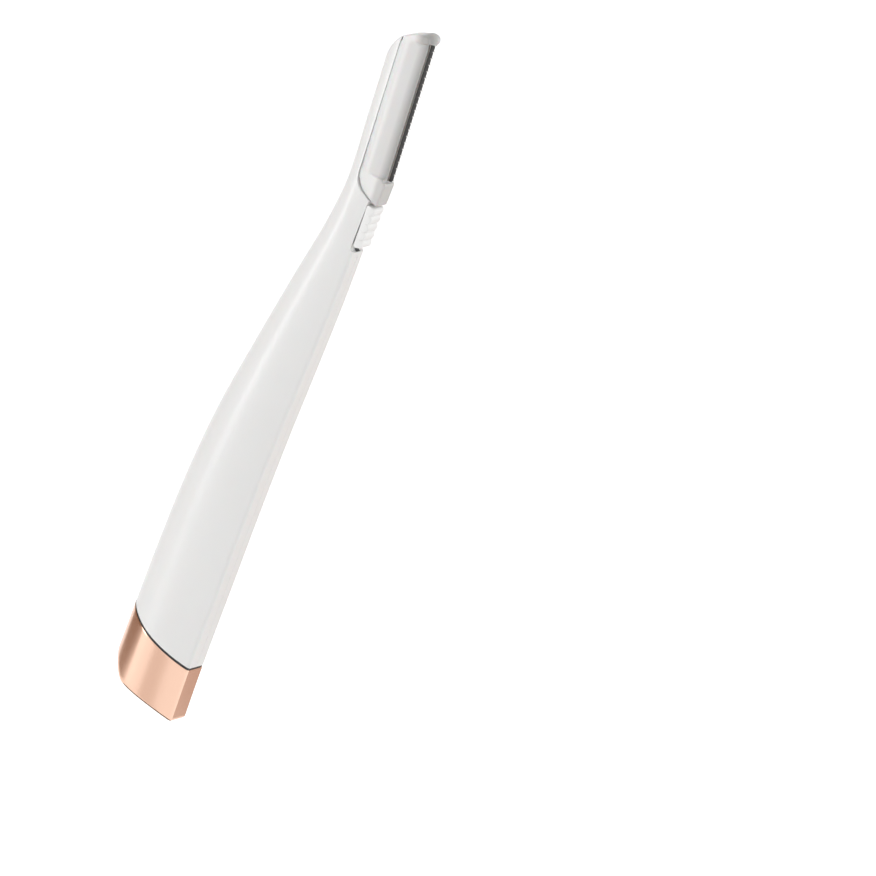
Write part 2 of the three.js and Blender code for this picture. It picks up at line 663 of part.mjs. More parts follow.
// Conical spring as one wound wire, its ends straight and square to plate and cell
function capSpring() {
  const points = [];
  const half = SPRING_WIRE / 2;
  const steps = SPRING_TURNS * SPRING_STEPS_PER_TURN;
  const rise = SPRING_HEIGHT - 2 * SPRING_WIRE;
  points.push(new THREE.Vector3(CELL_X + SPRING_WIDE_RADIUS, 0, SPRING_BOTTOM));
  for (let step = 0; step <= steps; step += 1) {
    const share = step / steps;
    const angle = share * SPRING_TURNS * 2 * Math.PI;
    const radius = SPRING_WIDE_RADIUS + (SPRING_NARROW_RADIUS - SPRING_WIDE_RADIUS) * share;
    points.push(new THREE.Vector3(
      CELL_X + radius * Math.cos(angle),
      radius * Math.sin(angle),
      SPRING_BOTTOM + SPRING_WIRE + rise * share,
    ));
  }
  points.push(new THREE.Vector3(CELL_X + SPRING_NARROW_RADIUS, 0, SPRING_TOP));
  const path = new THREE.CatmullRomCurve3(points, false, 'centripetal');
  const section = new THREE.Shape();
  section.absarc(0, 0, half, 0, 2 * Math.PI, false);
  const geometry = new THREE.ExtrudeGeometry(section, {
    steps: points.length * SPRING_RINGS_PER_STEP,
    extrudePath: path,
    curveSegments: SPRING_SECTION_SEGMENTS,
    bevelEnabled: false,
  });
  const samples = steps * SPRING_SAMPLES_PER_STEP;
  const dense = path.getSpacedPoints(samples);
  const apart = Math.round(samples / SPRING_TURNS / 2);
  let least = Infinity;
  for (let i = 0; i < dense.length; i += 1) {
    for (let j = i + apart; j < dense.length; j += 1) {
      least = Math.min(least, dense[i].distanceTo(dense[j]) - SPRING_WIRE);
    }
  }
  console.log(`cap spring: least gap between turns ${least.toFixed(2)} mm`);
  return piece('cap_spring', 'spring_steel', geometry);
}

// Round cell with its raised positive terminal
function cell() {
  const shoulder = CELL_TOP - TERMINAL_HEIGHT;
  const rim = CELL_RADIUS - CELL_SHOULDER;
  const can = [
    [0, CELL_BOTTOM],
    [CELL_RADIUS - CELL_CHAMFER, CELL_BOTTOM],
    [CELL_RADIUS, CELL_BOTTOM + CELL_CHAMFER],
    [CELL_RADIUS, shoulder - CELL_SHOULDER],
    [rim, shoulder - FIT_GAP],
    [0, shoulder - FIT_GAP],
  ];
  const nub = [
    [0, shoulder],
    [TERMINAL_DIAMETER / 2, shoulder],
    [TERMINAL_DIAMETER / 2, CELL_TOP - TERMINAL_CHAMFER],
    [TERMINAL_DIAMETER / 2 - TERMINAL_CHAMFER, CELL_TOP],
    [0, CELL_TOP],
  ];
  const turned = (profile) => {
    const points = profile.map(([r, z]) => new THREE.Vector2(r, z));
    return new THREE.LatheGeometry(points, CELL_SIDES).rotateX(Math.PI / 2).translate(CELL_X, 0, 0);
  };
  return [
    piece('battery_cell', 'cell_jacket', turned(can)),
    piece('battery_terminal', 'nickel', turned(nub)),
  ];
}

// Contacts in the handle
function handleContacts() {
  const strip = block(
    STRIP_BACK - CONTACT_SHEET,
    STRIP_BACK,
    -STRIP_WIDTH / 2,
    STRIP_WIDTH / 2,
    STRIP_BOTTOM,
    BULKHEAD_BOTTOM - FIT_GAP,
  );
  const leaf = block(
    CELL_X - LEAF_SIZE / 2,
    CELL_X + LEAF_SIZE / 2,
    -LEAF_SIZE / 2,
    LEAF_SIZE / 2,
    POSITIVE_BOTTOM,
    POSITIVE_BOTTOM + CONTACT_SHEET,
  );
  return [
    piece('negative_strip', 'nickel', strip),
    piece('positive_contact', 'nickel', leaf),
  ];
}

// Chassis: a bulkhead over the cell and the backing of the board
function chassis() {
  const bulkhead = form(SHELL_WALL + FIT_GAP, BULKHEAD_BOTTOM, BULKHEAD_TOP, 2);
  const back = BOARD_THICKNESS / 2 + FIT_GAP;
  const backing = solid(block(
    BOARD_FRONT,
    BOARD_FRONT + BOARD_WIDTH,
    back,
    back + BACKING_THICKNESS,
    BULKHEAD_BOTTOM,
    BACKING_TOP,
  ));
  return piece('chassis', 'inner_plastic', geometryOf(bulkhead.add(backing)));
}

// Circuit board with the parts that lift the cell's voltage for the lamp
function electronics() {
  const face = -BOARD_THICKNESS / 2;
  const seat = face - FIT_GAP;
  const board = block(
    BOARD_FRONT,
    BOARD_FRONT + BOARD_WIDTH,
    face,
    -face,
    BOARD_BOTTOM,
    BOARD_TOP,
  );
  const chipAt = (part) => block(
    BOARD_MID - part.width / 2,
    BOARD_MID + part.width / 2,
    seat - part.thickness,
    seat,
    BOARD_BOTTOM + part.rise - part.height / 2,
    BOARD_BOTTOM + part.rise + part.height / 2,
  );
  const coil = sidewaysRod(
    INDUCTOR_DIAMETER / 2,
    seat - INDUCTOR_THICKNESS,
    seat,
    BOARD_MID,
    BOARD_BOTTOM + INDUCTOR_RISE,
  );
  return [
    piece('circuit_board', 'board_green', board),
    piece('driver_chip', 'black_plastic', chipAt(DRIVER_CHIP)),
    piece('capacitor', 'ceramic', chipAt(CAPACITOR)),
    piece('inductor', 'black_plastic', coil),
  ];
}

// Lamp at the top of the board and the clear window above it
function lamp() {
  const bottom = BOARD_TOP + FIT_GAP;
  const radius = LED_DIAMETER / 2;
  const domeFrom = bottom + LED_LENGTH - radius;
  const profile = [
    new THREE.Vector2(0, bottom),
    new THREE.Vector2(LED_FLANGE_DIAMETER / 2, bottom),
    new THREE.Vector2(LED_FLANGE_DIAMETER / 2, bottom + LED_FLANGE),
    new THREE.Vector2(radius, bottom + LED_FLANGE),
  ];
  for (let step = 0; step <= LED_DOME_STEPS; step += 1) {
    const angle = step / LED_DOME_STEPS * Math.PI / 2;
    const out = step === LED_DOME_STEPS ? 0 : radius * Math.cos(angle);
    profile.push(new THREE.Vector2(out, domeFrom + radius * Math.sin(angle)));
  }
  const bulb = new THREE.LatheGeometry(profile, ROD_SIDES).rotateX(Math.PI / 2).translate(LED_X, 0, 0);
  const under = belowNeckLine(2 * FIT_GAP);
  const lens = solid(lensRod(LENS_DIAMETER / 2, 0, PAST)).intersect(solid(slab(under, -FAR, FAR)));
  const window = piece('light_window', 'clear_lens', geometryOf(lens));
  return { bulb: piece('led', 'clear_lens', bulb), window };
}

// Slide switch behind the front face and the knob that the slider carries along
function slideSwitch() {
  const back = SWITCH_FRONT + SWITCH_HOUSING.depth;
  const housing = solid(block(
    SWITCH_FRONT,
    back,
    -SWITCH_HOUSING.width / 2,
    SWITCH_HOUSING.width / 2,
    KNOB_MID - SLIDER_TRAVEL / 2 - SWITCH_HOUSING.height / 2,
    KNOB_MID - SLIDER_TRAVEL / 2 + SWITCH_HOUSING.height / 2,
  ));
  const slotHalf = KNOB_WIDTH / 2 + FIT_GAP;
  const slot = solid(block(
    SWITCH_FRONT - PAST,
    SWITCH_FRONT + SWITCH_SLOT_DEPTH,
    -slotHalf,
    slotHalf,
    KNOB_MID - KNOB_LENGTH / 2 - SLIDER_TRAVEL - FIT_GAP,
    KNOB_MID + KNOB_LENGTH / 2 + FIT_GAP,
  ));
  const knob = block(
    faceX(SLIDER_MID) + RECESS_DEPTH - FIT_GAP - KNOB_BITE,
    SWITCH_FRONT + SWITCH_SLOT_DEPTH - FIT_GAP,
    -KNOB_WIDTH / 2,
    KNOB_WIDTH / 2,
    KNOB_MID - KNOB_LENGTH / 2,
    KNOB_MID + KNOB_LENGTH / 2,
  );
  return [
    piece('slide_switch', 'black_plastic', geometryOf(housing.subtract(slot))),
    piece('switch_knob', 'black_plastic', knob),
  ];
}

// Thumb slider: scalloped ribs on the outside, a pocket for the knob inside
function thumbSlider() {
  const inner = faceX(SLIDER_MID) + RECESS_DEPTH - FIT_GAP;
  const crest = faceX(SLIDER_MID) - SLIDER_RISE;
  const shape = new THREE.Shape();
  const pitch = SLIDER_LENGTH / SLIDER_SCALLOPS;
  shape.moveTo(inner, SLIDER_TOP);
  shape.lineTo(crest + SCALLOP_DEPTH, SLIDER_TOP);
  for (let rib = 0; rib < SLIDER_SCALLOPS; rib += 1) {
    const top = SLIDER_TOP - rib * pitch;
    const bottom = top - pitch;
    shape.bezierCurveTo(
      crest - SCALLOP_BULGE,
      top - SCALLOP_PULL * pitch,
      crest - SCALLOP_BULGE,
      bottom + SCALLOP_PULL * pitch,
      crest + SCALLOP_DEPTH,
      bottom,
    );
  }
  shape.lineTo(inner, SLIDER_BOTTOM);
  const pocketHalf = KNOB_WIDTH / 2 + FIT_GAP;
  const pocket = solid(block(
    inner - KNOB_BITE - FIT_GAP,
    inner + PAST,
    -pocketHalf,
    pocketHalf,
    KNOB_MID - KNOB_LENGTH / 2 - FIT_GAP,
    KNOB_MID + KNOB_LENGTH / 2 + FIT_GAP,
  ));
  const body = solid(slab(shape, -SLIDER_WIDTH / 2, SLIDER_WIDTH / 2)).subtract(pocket);
  return piece('thumb_slider', 'white_plastic', geometryOf(body));
}

// Frosted frame of the cartridge, in the head frame
function cartridgeFrame() {
  const half = FRAME_THICKNESS / 2;
  const shape = new THREE.Shape();
  shape.moveTo(CHIN.w, CHIN.v);
  shape.lineTo(NECK_LINE.wFront, neckLine(NECK_LINE.wFront));
  for (const [w, v] of neckPoints(0)) {
    shape.lineTo(w, v);
  }
  shape.lineTo(FRAME_BACK, CROWN_SHOULDER);
  shape.lineTo(CROWN.back, CROWN_SHOULDER);
  shape.quadraticCurveTo(CROWN.pull, CROWN_TOP, CROWN.turn, CROWN_TOP);
  shape.quadraticCurveTo(CROWN.front, CROWN_TOP, CROWN.front, BLADE_LENGTH + CROWN_LIFT.rise);
  shape.lineTo(CROWN.front, CROWN_LOW);
  shape.lineTo(FRAME_EDGE, CROWN_LOW);
  shape.lineTo(FRAME_EDGE, CHIN.top);
  shape.lineTo(CHIN.topW, CHIN.top);
  const bevel = outline([
    [FRAME_EDGE, FRAME_EDGE_HALF],
    [BEVEL_START, half],
    [BEVEL_START, half + PAST],
    [FRAME_EDGE - PAST, half + PAST],
    [FRAME_EDGE - PAST, FRAME_EDGE_HALF],
  ]);
  const bevelCut = new THREE.ExtrudeGeometry(bevel, {
    depth: CROWN_LOW - CHIN.top - 2 * BEVEL_END_LAND,
    bevelEnabled: false,
  }).translate(0, 0, CHIN.top + BEVEL_END_LAND);
  const window = new THREE.Shape();
  window.moveTo(FRAME_EDGE - PAST, CLAMP_FOOT_V - TIP_ROOM);
  window.lineTo(CLAMP_FRONT, CLAMP_FOOT_V - TIP_ROOM);
  window.lineTo(CLAMP_TIP.w, CLAMP_TIP.v - TIP_ROOM);
  window.lineTo(WINDOW_BACK, CLAMP_SHOULDER_V - TIP_ROOM);
  window.lineTo(WINDOW_BACK, CLAMP_TOP + FIT_GAP);
  window.lineTo(FRAME_EDGE - PAST, CLAMP_TOP + FIT_GAP);
  const bladeRoom = block(
    FRAME_EDGE - PAST,
    BLADE_WIDTH + FIT_GAP,
    -half - PAST,
    WINDOW_FLOOR,
    -FIT_GAP,
    BLADE_LENGTH + FIT_GAP,
  );
  const bladeCover = block(
    GUARD_BACK + FIT_GAP,
    WINDOW_BACK + PAST,
    -half - 2 * PAST,
    CLAMP_INNER,
    CLAMP_TOP + FIT_GAP,
    BLADE_LENGTH + PAST,
  );
  const nose = new THREE.SphereGeometry(1, ROD_SIDES, ROD_SIDES / 2)
    .scale(NOSE.reach, NOSE.half, NOSE.rise)
    .translate(NOSE.w, 0, BLADE_LENGTH + NOSE.lift);
  let body = solid(slab(shape, -half, half))
    .add(solid(nose))
    .subtract(solid(bevelCut))
    .subtract(solid(slab(window, -half - PAST, WINDOW_FLOOR)))
    .subtract(solid(bladeRoom).subtract(solid(bladeCover)));
  for (const w of RAIL_GROOVES) {
    const groove = block(
      w - RAIL_GROOVE_WIDTH / 2,
      w + RAIL_GROOVE_WIDTH / 2,
      -half - PAST,
      -half + RAIL_GROOVE_DEPTH,
      CLAMP_SHOULDER_V,
      CLAMP_TOP,
    );
    body = body.subtract(solid(groove));
  }
  for (const stake of STAKES) {
    const hole = sidewaysRod(
      stake.shank / 2 + FIT_GAP,
      WINDOW_FLOOR - PAST,
      WINDOW_FLOOR + STAKE_DEPTH + FIT_GAP,
      stake.w,
      stake.v,
    );
    body = body.subtract(solid(hole));
  }
  const neckHalf = TONGUE_NECK.width / 2;
  const headHalf = TONGUE_HEAD.width / 2;
  const tongueNeckEnd = FRAME_BACK + TONGUE_NECK.length;
  const { from } = TONGUE_SPAN;
  const to = BLADE_LENGTH - TONGUE_SPAN.drop;
  body = body
    .add(solid(block(FRAME_BACK - LAP, tongueNeckEnd + TONGUE_HEAD.length, -neckHalf, neckHalf, from, to)))
    .add(solid(block(tongueNeckEnd, tongueNeckEnd + TONGUE_HEAD.length, -headHalf, headHalf, from, to)));
  return piece('cartridge_frame', 'frosted_clear', geometryOf(body));
}

// Steel blade with a ground edge and holes for the stakes
function blade() {
  const half = BLADE_THICKNESS / 2;
  const section = outline([
    [0, BLADE_PLANE],
    [BLADE_BEVEL, BLADE_PLANE - half],
    [BLADE_WIDTH, BLADE_PLANE - half],
    [BLADE_WIDTH, BLADE_PLANE + half],
    [BLADE_BEVEL, BLADE_PLANE + half],
  ]);
  let body = solid(new THREE.ExtrudeGeometry(section, { depth: BLADE_LENGTH, bevelEnabled: false }));
  for (const stake of STAKES) {
    const hole = sidewaysRod(
      stake.shank / 2 + FIT_GAP,
      BLADE_PLANE - PAST,
      BLADE_PLANE + PAST,
      stake.w,
      stake.v,
    );
    body = body.subtract(solid(hole));
  }
  return piece('blade', 'blade_steel', geometryOf(body));
}

// Clamp plate over the blade: pointed foot, long rib, oblong slot
function bladeClamp() {
  const back = WINDOW_BACK - FIT_GAP;
  const plate = outline([
    [CLAMP_FRONT, CLAMP_FOOT_V],
    [CLAMP_TIP.w, CLAMP_TIP.v],
    [back, CLAMP_SHOULDER_V],
    [back, CLAMP_TOP],
    [CLAMP_FRONT, CLAMP_TOP],
  ]);
  const rib = block(
    CLAMP_RIB.w - CLAMP_RIB.width / 2,
    CLAMP_RIB.w + CLAMP_RIB.width / 2,
    CLAMP_OUTER - CLAMP_RIB.height,
    CLAMP_OUTER + CLAMP_THICKNESS / 2,
    CLAMP_RIB.from,
    BLADE_LENGTH - CLAMP_RIB.drop,
  );
  const reach = CLAMP_SLOT.width / 2;
  const slot = new THREE.Shape();
  slot.absarc(CLAMP_SLOT.w, CLAMP_SLOT.to - reach, reach, 0, Math.PI, false);
  slot.absarc(CLAMP_SLOT.w, CLAMP_SLOT.from + reach, reach, Math.PI, 2 * Math.PI, false);
  let body = solid(slab(plate, CLAMP_OUTER, CLAMP_INNER))
    .add(solid(rib))
    .subtract(solid(slab(slot, CLAMP_OUTER - PAST, CLAMP_INNER + PAST)));
  for (const stake of STAKES) {
    const hole = sidewaysRod(
      stake.shank / 2 + FIT_GAP,
      CLAMP_OUTER - PAST,
      CLAMP_INNER + PAST,
      stake.w,
      stake.v,
    );
    body = body.subtract(solid(hole));
  }
  return piece('blade_clamp', 'frosted_clear', geometryOf(body));
}

// Stakes that hold clamp and blade to the frame
function clampStakes() {
  return STAKES.map((stake) => {
    const underHead = CLAMP_OUTER - FIT_GAP;
    const top = underHead - STAKE_HEAD_HEIGHT;
    const end = WINDOW_FLOOR + STAKE_DEPTH;
    const head = stake.head / 2;
    const profile = [
      [0, top],
      [head * STAKE_CROWN_SHARE, top],
      [head, top + STAKE_HEAD_HEIGHT / 2],
      [head, underHead],
      [stake.shank / 2, underHead],
      [stake.shank / 2, end],
      [0, end],
    ];
    const points = profile.map(([r, y]) => new THREE.Vector2(r, y));
    const turned = new THREE.LatheGeometry(points, ROD_SIDES).translate(stake.w, 0, stake.v);
    return piece(stake.name, 'frosted_clear', turned);
  });
}

// Guard: bent bars round the cutting edge, joined by a rail on the clamp's side
function edgeGuard() {
  const outward = BLADE_THICKNESS / 2 + GUARD_GAP;
  const faceB = BLADE_PLANE - outward;
  const faceA = BLADE_PLANE + outward;
  const hoop = outline([
    [GUARD_BACK, faceB - GUARD_WIRE],
    [GUARD_BEND, faceB - GUARD_WIRE],
    [-GUARD_REACH, BLADE_PLANE - GUARD_TIP_HALF],
    [-GUARD_REACH, BLADE_PLANE + GUARD_TIP_HALF],
    [GUARD_BEND, faceA + GUARD_WIRE],
    [GUARD_SHORT_LEG, faceA + GUARD_WIRE],
    [GUARD_SHORT_LEG, faceA],
    [GUARD_BEND, faceA],
    [-GUARD_REACH + GUARD_WIRE, BLADE_PLANE],
    [GUARD_BEND, faceB],
    [GUARD_BACK, faceB],
  ]);
  const span = (GUARD_BARS - 1) * GUARD_PITCH;
  const first = (BLADE_LENGTH - span) / 2;
  const railFrom = GUARD_RAIL.w - GUARD_RAIL.width / 2;
  let body = solid(block(railFrom, GUARD_BACK, faceB - GUARD_WIRE, faceB, first, first + span));
  for (let bar = 0; bar < GUARD_BARS; bar += 1) {
    const at = first + bar * GUARD_PITCH - GUARD_WIRE / 2;
    const bent = new THREE.ExtrudeGeometry(hoop, { depth: GUARD_WIRE, bevelEnabled: false });
    body = body.add(solid(bent.translate(0, 0, at)));
  }
  return piece('edge_guard', 'guard_steel', geometryOf(body));
}

// Assembly
const wand = new THREE.Group();
const head = new THREE.Group();
const lights = lamp();
head.position.set(EDGE_FOOT.x, 0, EDGE_FOOT.height);
head.rotation.y = HEAD_LEAN;
head.add(cartridgeFrame(), blade(), bladeClamp(), edgeGuard(), ...clampStakes(), lights.window);
wand.add(...handleShells(), capShell(), capInsert(), capContact(), capSpring(), ...cell());
wand.add(...handleContacts(), chassis(), ...electronics(), lights.bulb);
wand.add(...slideSwitch(), thumbSlider(), head);
wand.position.z = -GRIP_HEIGHT;

export default wand;
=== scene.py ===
"""Battery-lit facial hair remover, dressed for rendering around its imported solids.

The wand stands along +Z with its blade towards -X. Lengths in the dataclasses are millimetres
counted from the lowest corner of the end cap, and SHIFT moves them to the frame's origin.
"""

from __future__ import annotations

import logging
import math
from dataclasses import dataclass, field
from enum import Enum
from typing import Callable, Sequence

import bmesh
import bpy
from bmesh.types import BMEdge, BMesh, BMVert
from bpy.types import Material, NodeSocket, NodeTree, Object, ShaderNodeTree
from mathutils import Matrix, Vector

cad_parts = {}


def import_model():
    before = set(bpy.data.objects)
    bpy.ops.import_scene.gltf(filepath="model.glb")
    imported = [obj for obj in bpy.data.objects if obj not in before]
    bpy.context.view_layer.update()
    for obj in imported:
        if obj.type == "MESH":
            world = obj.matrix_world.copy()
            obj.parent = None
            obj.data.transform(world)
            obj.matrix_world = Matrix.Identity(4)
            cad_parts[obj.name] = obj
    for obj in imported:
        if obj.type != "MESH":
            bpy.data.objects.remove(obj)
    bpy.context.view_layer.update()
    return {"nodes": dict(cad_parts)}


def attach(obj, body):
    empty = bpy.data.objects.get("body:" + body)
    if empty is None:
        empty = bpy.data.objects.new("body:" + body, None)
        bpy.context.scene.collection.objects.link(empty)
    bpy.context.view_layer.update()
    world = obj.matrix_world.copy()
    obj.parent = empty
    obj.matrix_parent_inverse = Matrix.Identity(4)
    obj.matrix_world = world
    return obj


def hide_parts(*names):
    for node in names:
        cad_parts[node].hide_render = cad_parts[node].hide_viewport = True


LOG = logging.getLogger("wand")
MM = 0.001
SHIFT = -45.0
WELD = 2e-7
NODE_WELD = 5 * WELD
FLAT_ANGLE = math.radians(0.6)
SOFT_ANGLE = math.radians(38)
FLAT_WEIGHT = 60
SMOOTH_FACTOR = 0.5
BUMP_STRENGTH = 0.35
WHITE_LIGHT = (1.0, 1.0, 1.0, 1.0)
NO_LIGHT = (0.0, 0.0, 0.0, 1.0)
# Name of the mesh mark that carries the painted shade on the frosted frame.
PAINTED_SHADE_MARK = "painted_shade"

Pair = tuple[float, float]
Triple = tuple[float, float, float]
Plane = tuple[Vector, Vector]
HeightAt = Callable[[float], float]


def row(x: float, y: float, height: float) -> Vector:
    """A point in the frame, in metres, from millimetres above the cap's lowest corner."""
    return Vector((x * MM, y * MM, (height + SHIFT) * MM))


def blend(a: float, b: float, share: float) -> float:
    """The value that lies a share of the way from a to b."""
    return a + (b - a) * share


def shares(count: int) -> list[float]:
    """Even steps from 0 to 1."""
    return [step / count for step in range(count + 1)]


class Side(Enum):
    """The two half shells: the plain side and the side of the blade clamp."""

    PLAIN = 1.0
    CLAMP = -1.0


# Outer form of the wand


@dataclass(frozen=True)
class Section:
    """One level section of the wand's outer form.

    Attributes:
        height: Height above the cap's lowest corner.
        front: Place of the narrow front face along X.
        spine: Place of the rounded spine along X.
        radius: Radius of the spine.
        face: Width of the narrow front face.
    """

    height: float
    front: float
    spine: float
    radius: float
    face: float

    def leave(self) -> float:
        """Angle at which a flat side leaves the round spine.

        Returns:
            The angle in radians, counted from the middle of the spine.
        """
        ahead = self.front - (self.spine - self.radius)
        half = self.face / 2
        return math.atan2(half, ahead) - math.acos(self.radius / math.hypot(ahead, half))

    def inset(self, wall: float) -> Section:
        """The same section with its outline moved inwards.

        Args:
            wall: How far the outline moves.

        Returns:
            The smaller section.
        """
        tilt = self.leave() - math.pi / 2
        half = self.face / 2 + wall * math.tan(tilt) - wall / math.cos(tilt)
        return Section(
            self.height, self.front + wall, self.spine - wall, self.radius - wall, 2 * half
        )


@dataclass(frozen=True)
class WandForm:
    """The smooth outer form that handle and cap share.

    Attributes:
        sections: Level sections from the cap's sole to the head's tip.
        edge_run: How far the rounding of the front edges runs along each face.
        swell: Share of the sides' lean at which they leave the spine, for a slight swell.
        swell_reach: Share of a side over which it straightens.
        arc_steps: Facets of the spine's arc.
        side_steps: Facets of each flat side.
        corner_steps: Facets of each rounded front edge.
        face_steps: Facets of the narrow front face.
        run_loss: Wall for each millimetre that the rounding of an inner edge loses.
        least_run: Least rounding of an inner edge.
        passes: Passes in which a ring's points settle at their heights.
        digits: Decimals to which these heights are kept.
    """

    sections: tuple[Section, ...] = (
        Section(-4.0, -11.3, 5.95, 7.0, 7.4),
        Section(12.0, -10.95, 5.95, 7.0, 7.4),
        Section(30.0, -11.0, 5.95, 7.0, 7.2),
        Section(48.0, -11.05, 5.5, 7.0, 7.0),
        Section(64.0, -11.3, 4.2, 6.7, 6.7),
        Section(80.0, -11.85, 1.7, 5.8, 6.3),
        Section(96.0, -12.3, -1.1, 4.9, 5.8),
        Section(110.0, -12.3, -3.7, 4.0, 5.4),
        Section(120.0, -12.1, -4.6, 3.1, 5.0),
        Section(134.0, -11.3, -3.8, 2.6, 4.8),
        Section(158.0, -9.9, -2.4, 2.6, 4.8),
    )
    edge_run: float = 0.7
    swell: float = 0.45
    swell_reach: float = 0.36
    arc_steps: int = 32
    side_steps: int = 16
    corner_steps: int = 6
    face_steps: int = 8
    run_loss: float = 3.0
    least_run: float = 0.15
    passes: int = 7
    digits: int = 4

    def at(self, height: float) -> Section:
        """The section at a height, on a smooth curve through the given ones.

        Args:
            height: Height above the cap's lowest corner.

        Returns:
            The blended section.
        """
        last = len(self.sections) - 1
        index = 0
        while index < last - 1 and height > self.sections[index + 1].height:
            index += 1
        low, high = self.sections[index], self.sections[index + 1]
        before = self.sections[max(index - 1, 0)]
        after = self.sections[min(index + 2, last)]
        span = high.height - low.height
        t = (height - low.height) / span

        def curve(name: str) -> float:
            """One field on the curve.

            Args:
                name: Name of the field.

            Returns:
                Its blended value.
            """
            a, b = getattr(low, name), getattr(high, name)
            rise_low = (b - getattr(before, name)) / (high.height - before.height) * span
            rise_high = (getattr(after, name) - a) / (after.height - low.height) * span
            return (
                (2 * t**3 - 3 * t**2 + 1) * a
                + (t**3 - 2 * t**2 + t) * rise_low
                + (3 * t**2 - 2 * t**3) * b
                + (t**3 - t**2) * rise_high
            )

        return Section(height, curve("front"), curve("spine"), curve("radius"), curve("face"))

    def outline(self, section: Section, run: float) -> list[Vector]:
        """Outline of a section, counter-clockwise from the spine's clamp side.

        Args:
            section: The section to draw.
            run: How far the front edges' rounding runs along each face.

        Returns:
            Points in the plane of the section.
        """
        centre = section.spine - section.radius
        upright = math.pi / 2
        leave = upright + (section.leave() - upright) * self.swell
        arc = []
        for step in range(self.arc_steps + 1):
            angle = leave * (2 * step / self.arc_steps - 1)
            along, across = math.cos(angle), math.sin(angle)
            arc.append(Vector((centre + section.radius * along, section.radius * across)))
        corner = Vector((section.front, section.face / 2))
        heading = Vector((-math.sin(leave), math.cos(leave)))
        pull = arc[-1] + heading * (corner - arc[-1]).length * self.swell_reach
        along_side = (pull - corner).normalized()
        along_face = Vector((0.0, -1.0))
        opening = along_side.angle(along_face)
        reach = run / math.cos(opening / 2)
        middle = corner + (along_side + along_face).normalized() * reach
        start = corner + along_side * run - middle
        turn = math.pi - opening
        rounded = []
        for step in range(self.corner_steps + 1):
            spoke = start.copy()
            spoke.rotate(Matrix.Rotation(turn * step / self.corner_steps, 2))
            rounded.append(middle + spoke)
        side = [
            Vector(bezier(tuple(arc[-1]), tuple(pull), tuple(rounded[0]), s / self.side_steps))
            for s in range(1, self.side_steps)
        ]
        flip = [Vector((p.x, -p.y)) for p in reversed(side + rounded)]
        face = [rounded[-1].lerp(flip[0], s / self.face_steps) for s in range(1, self.face_steps)]
        return arc + side + rounded + face + flip

    def ring(
        self,
        wall: float | Sequence[float],
        height_at: HeightAt,
        lifts: Sequence[float] | None = None,
    ) -> list[Vector]:
        """A ring round the form, at a height that depends on the place along X.

        Args:
            wall: How far the ring lies inside the outer form, for all points or for each one.
            height_at: Height for a place along X.
            lifts: Height to add at each point.

        Returns:
            The ring's points in the frame.
        """
        count = len(self.outline(self.sections[0], self.edge_run))
        walls = [wall] * count if isinstance(wall, float) else wall
        rises = lifts or [0.0] * count
        heights = [height_at(0.0) + rise for rise in rises]
        points: list[Vector] = []
        for _ in range(self.passes):
            cache: dict[Pair, list[Vector]] = {}
            points = []
            for index, height in enumerate(heights):
                key = (round(height, self.digits), round(walls[index], self.digits))
                if key not in cache:
                    run = max(self.edge_run - key[1] / self.run_loss, self.least_run)
                    cache[key] = self.outline(self.at(key[0]).inset(key[1]), run)
                flat = cache[key][index]
                points.append(Vector((flat.x, flat.y, key[0])))
            heights = [height_at(point.x) + rise for point, rise in zip(points, rises)]
        return [row(*point) for point in points]

    def rings(
        self, wall: float, low: HeightAt, high: HeightAt, steps: Sequence[float]
    ) -> list[list[Vector]]:
        """Rings that pass from one height to another.

        Args:
            wall: How far the rings lie inside the outer form.
            low: Height at the share 0 for a place along X.
            high: Height at the share 1.
            steps: The share of each ring.

        Returns:
            The rings in the order of their shares.
        """
        return [self.ring(wall, lambda x, s=share: blend(low(x), high(x), s)) for share in steps]


@dataclass(frozen=True)
class Seam:
    """The swept seam between handle and cap, and the cap's slanted base.

    Attributes:
        corner: Place of the lowest corner along X.
        front: Height of the seam at that corner.
        slope: Rise of the seam there.
        sweep: How fast the rise grows towards the spine.
        base_slope: Rise of the slanted base.
        heel: Radius of the heel where the base meets the spine.
        spine: Place of the cap's spine along X.
    """

    corner: float = -11.2
    front: float = 11.7
    slope: float = 0.27
    sweep: float = 0.0137
    base_slope: float = 0.33
    heel: float = 4.5
    spine: float = 5.95

    def height(self, x: float) -> float:
        """Height of the seam's middle at a place along X."""
        back = x - self.corner
        return self.front + self.slope * back + self.sweep * back * back

    def plane(self, x: float) -> float:
        """Height of the slanted base at a place along X, without its heel."""
        return self.base_slope * (x - self.corner)

    def base(self, x: float, floor: float = 0.0) -> float:
        """Height of the cap's base with its heel.

        Args:
            x: Place along X.
            floor: Thickness by which the base is moved up.

        Returns:
            The height above the cap's lowest corner.
        """
        lean = math.atan(self.base_slope)
        radius = self.heel - floor
        centre = self.spine - floor - radius
        touch = centre + radius * math.sin(lean)
        lift = floor / math.cos(lean)
        if x <= touch:
            return self.plane(x) + lift
        level = self.plane(touch) + lift + radius * math.cos(lean)
        return level - math.sqrt(max(radius**2 - (x - centre) ** 2, 0.0))


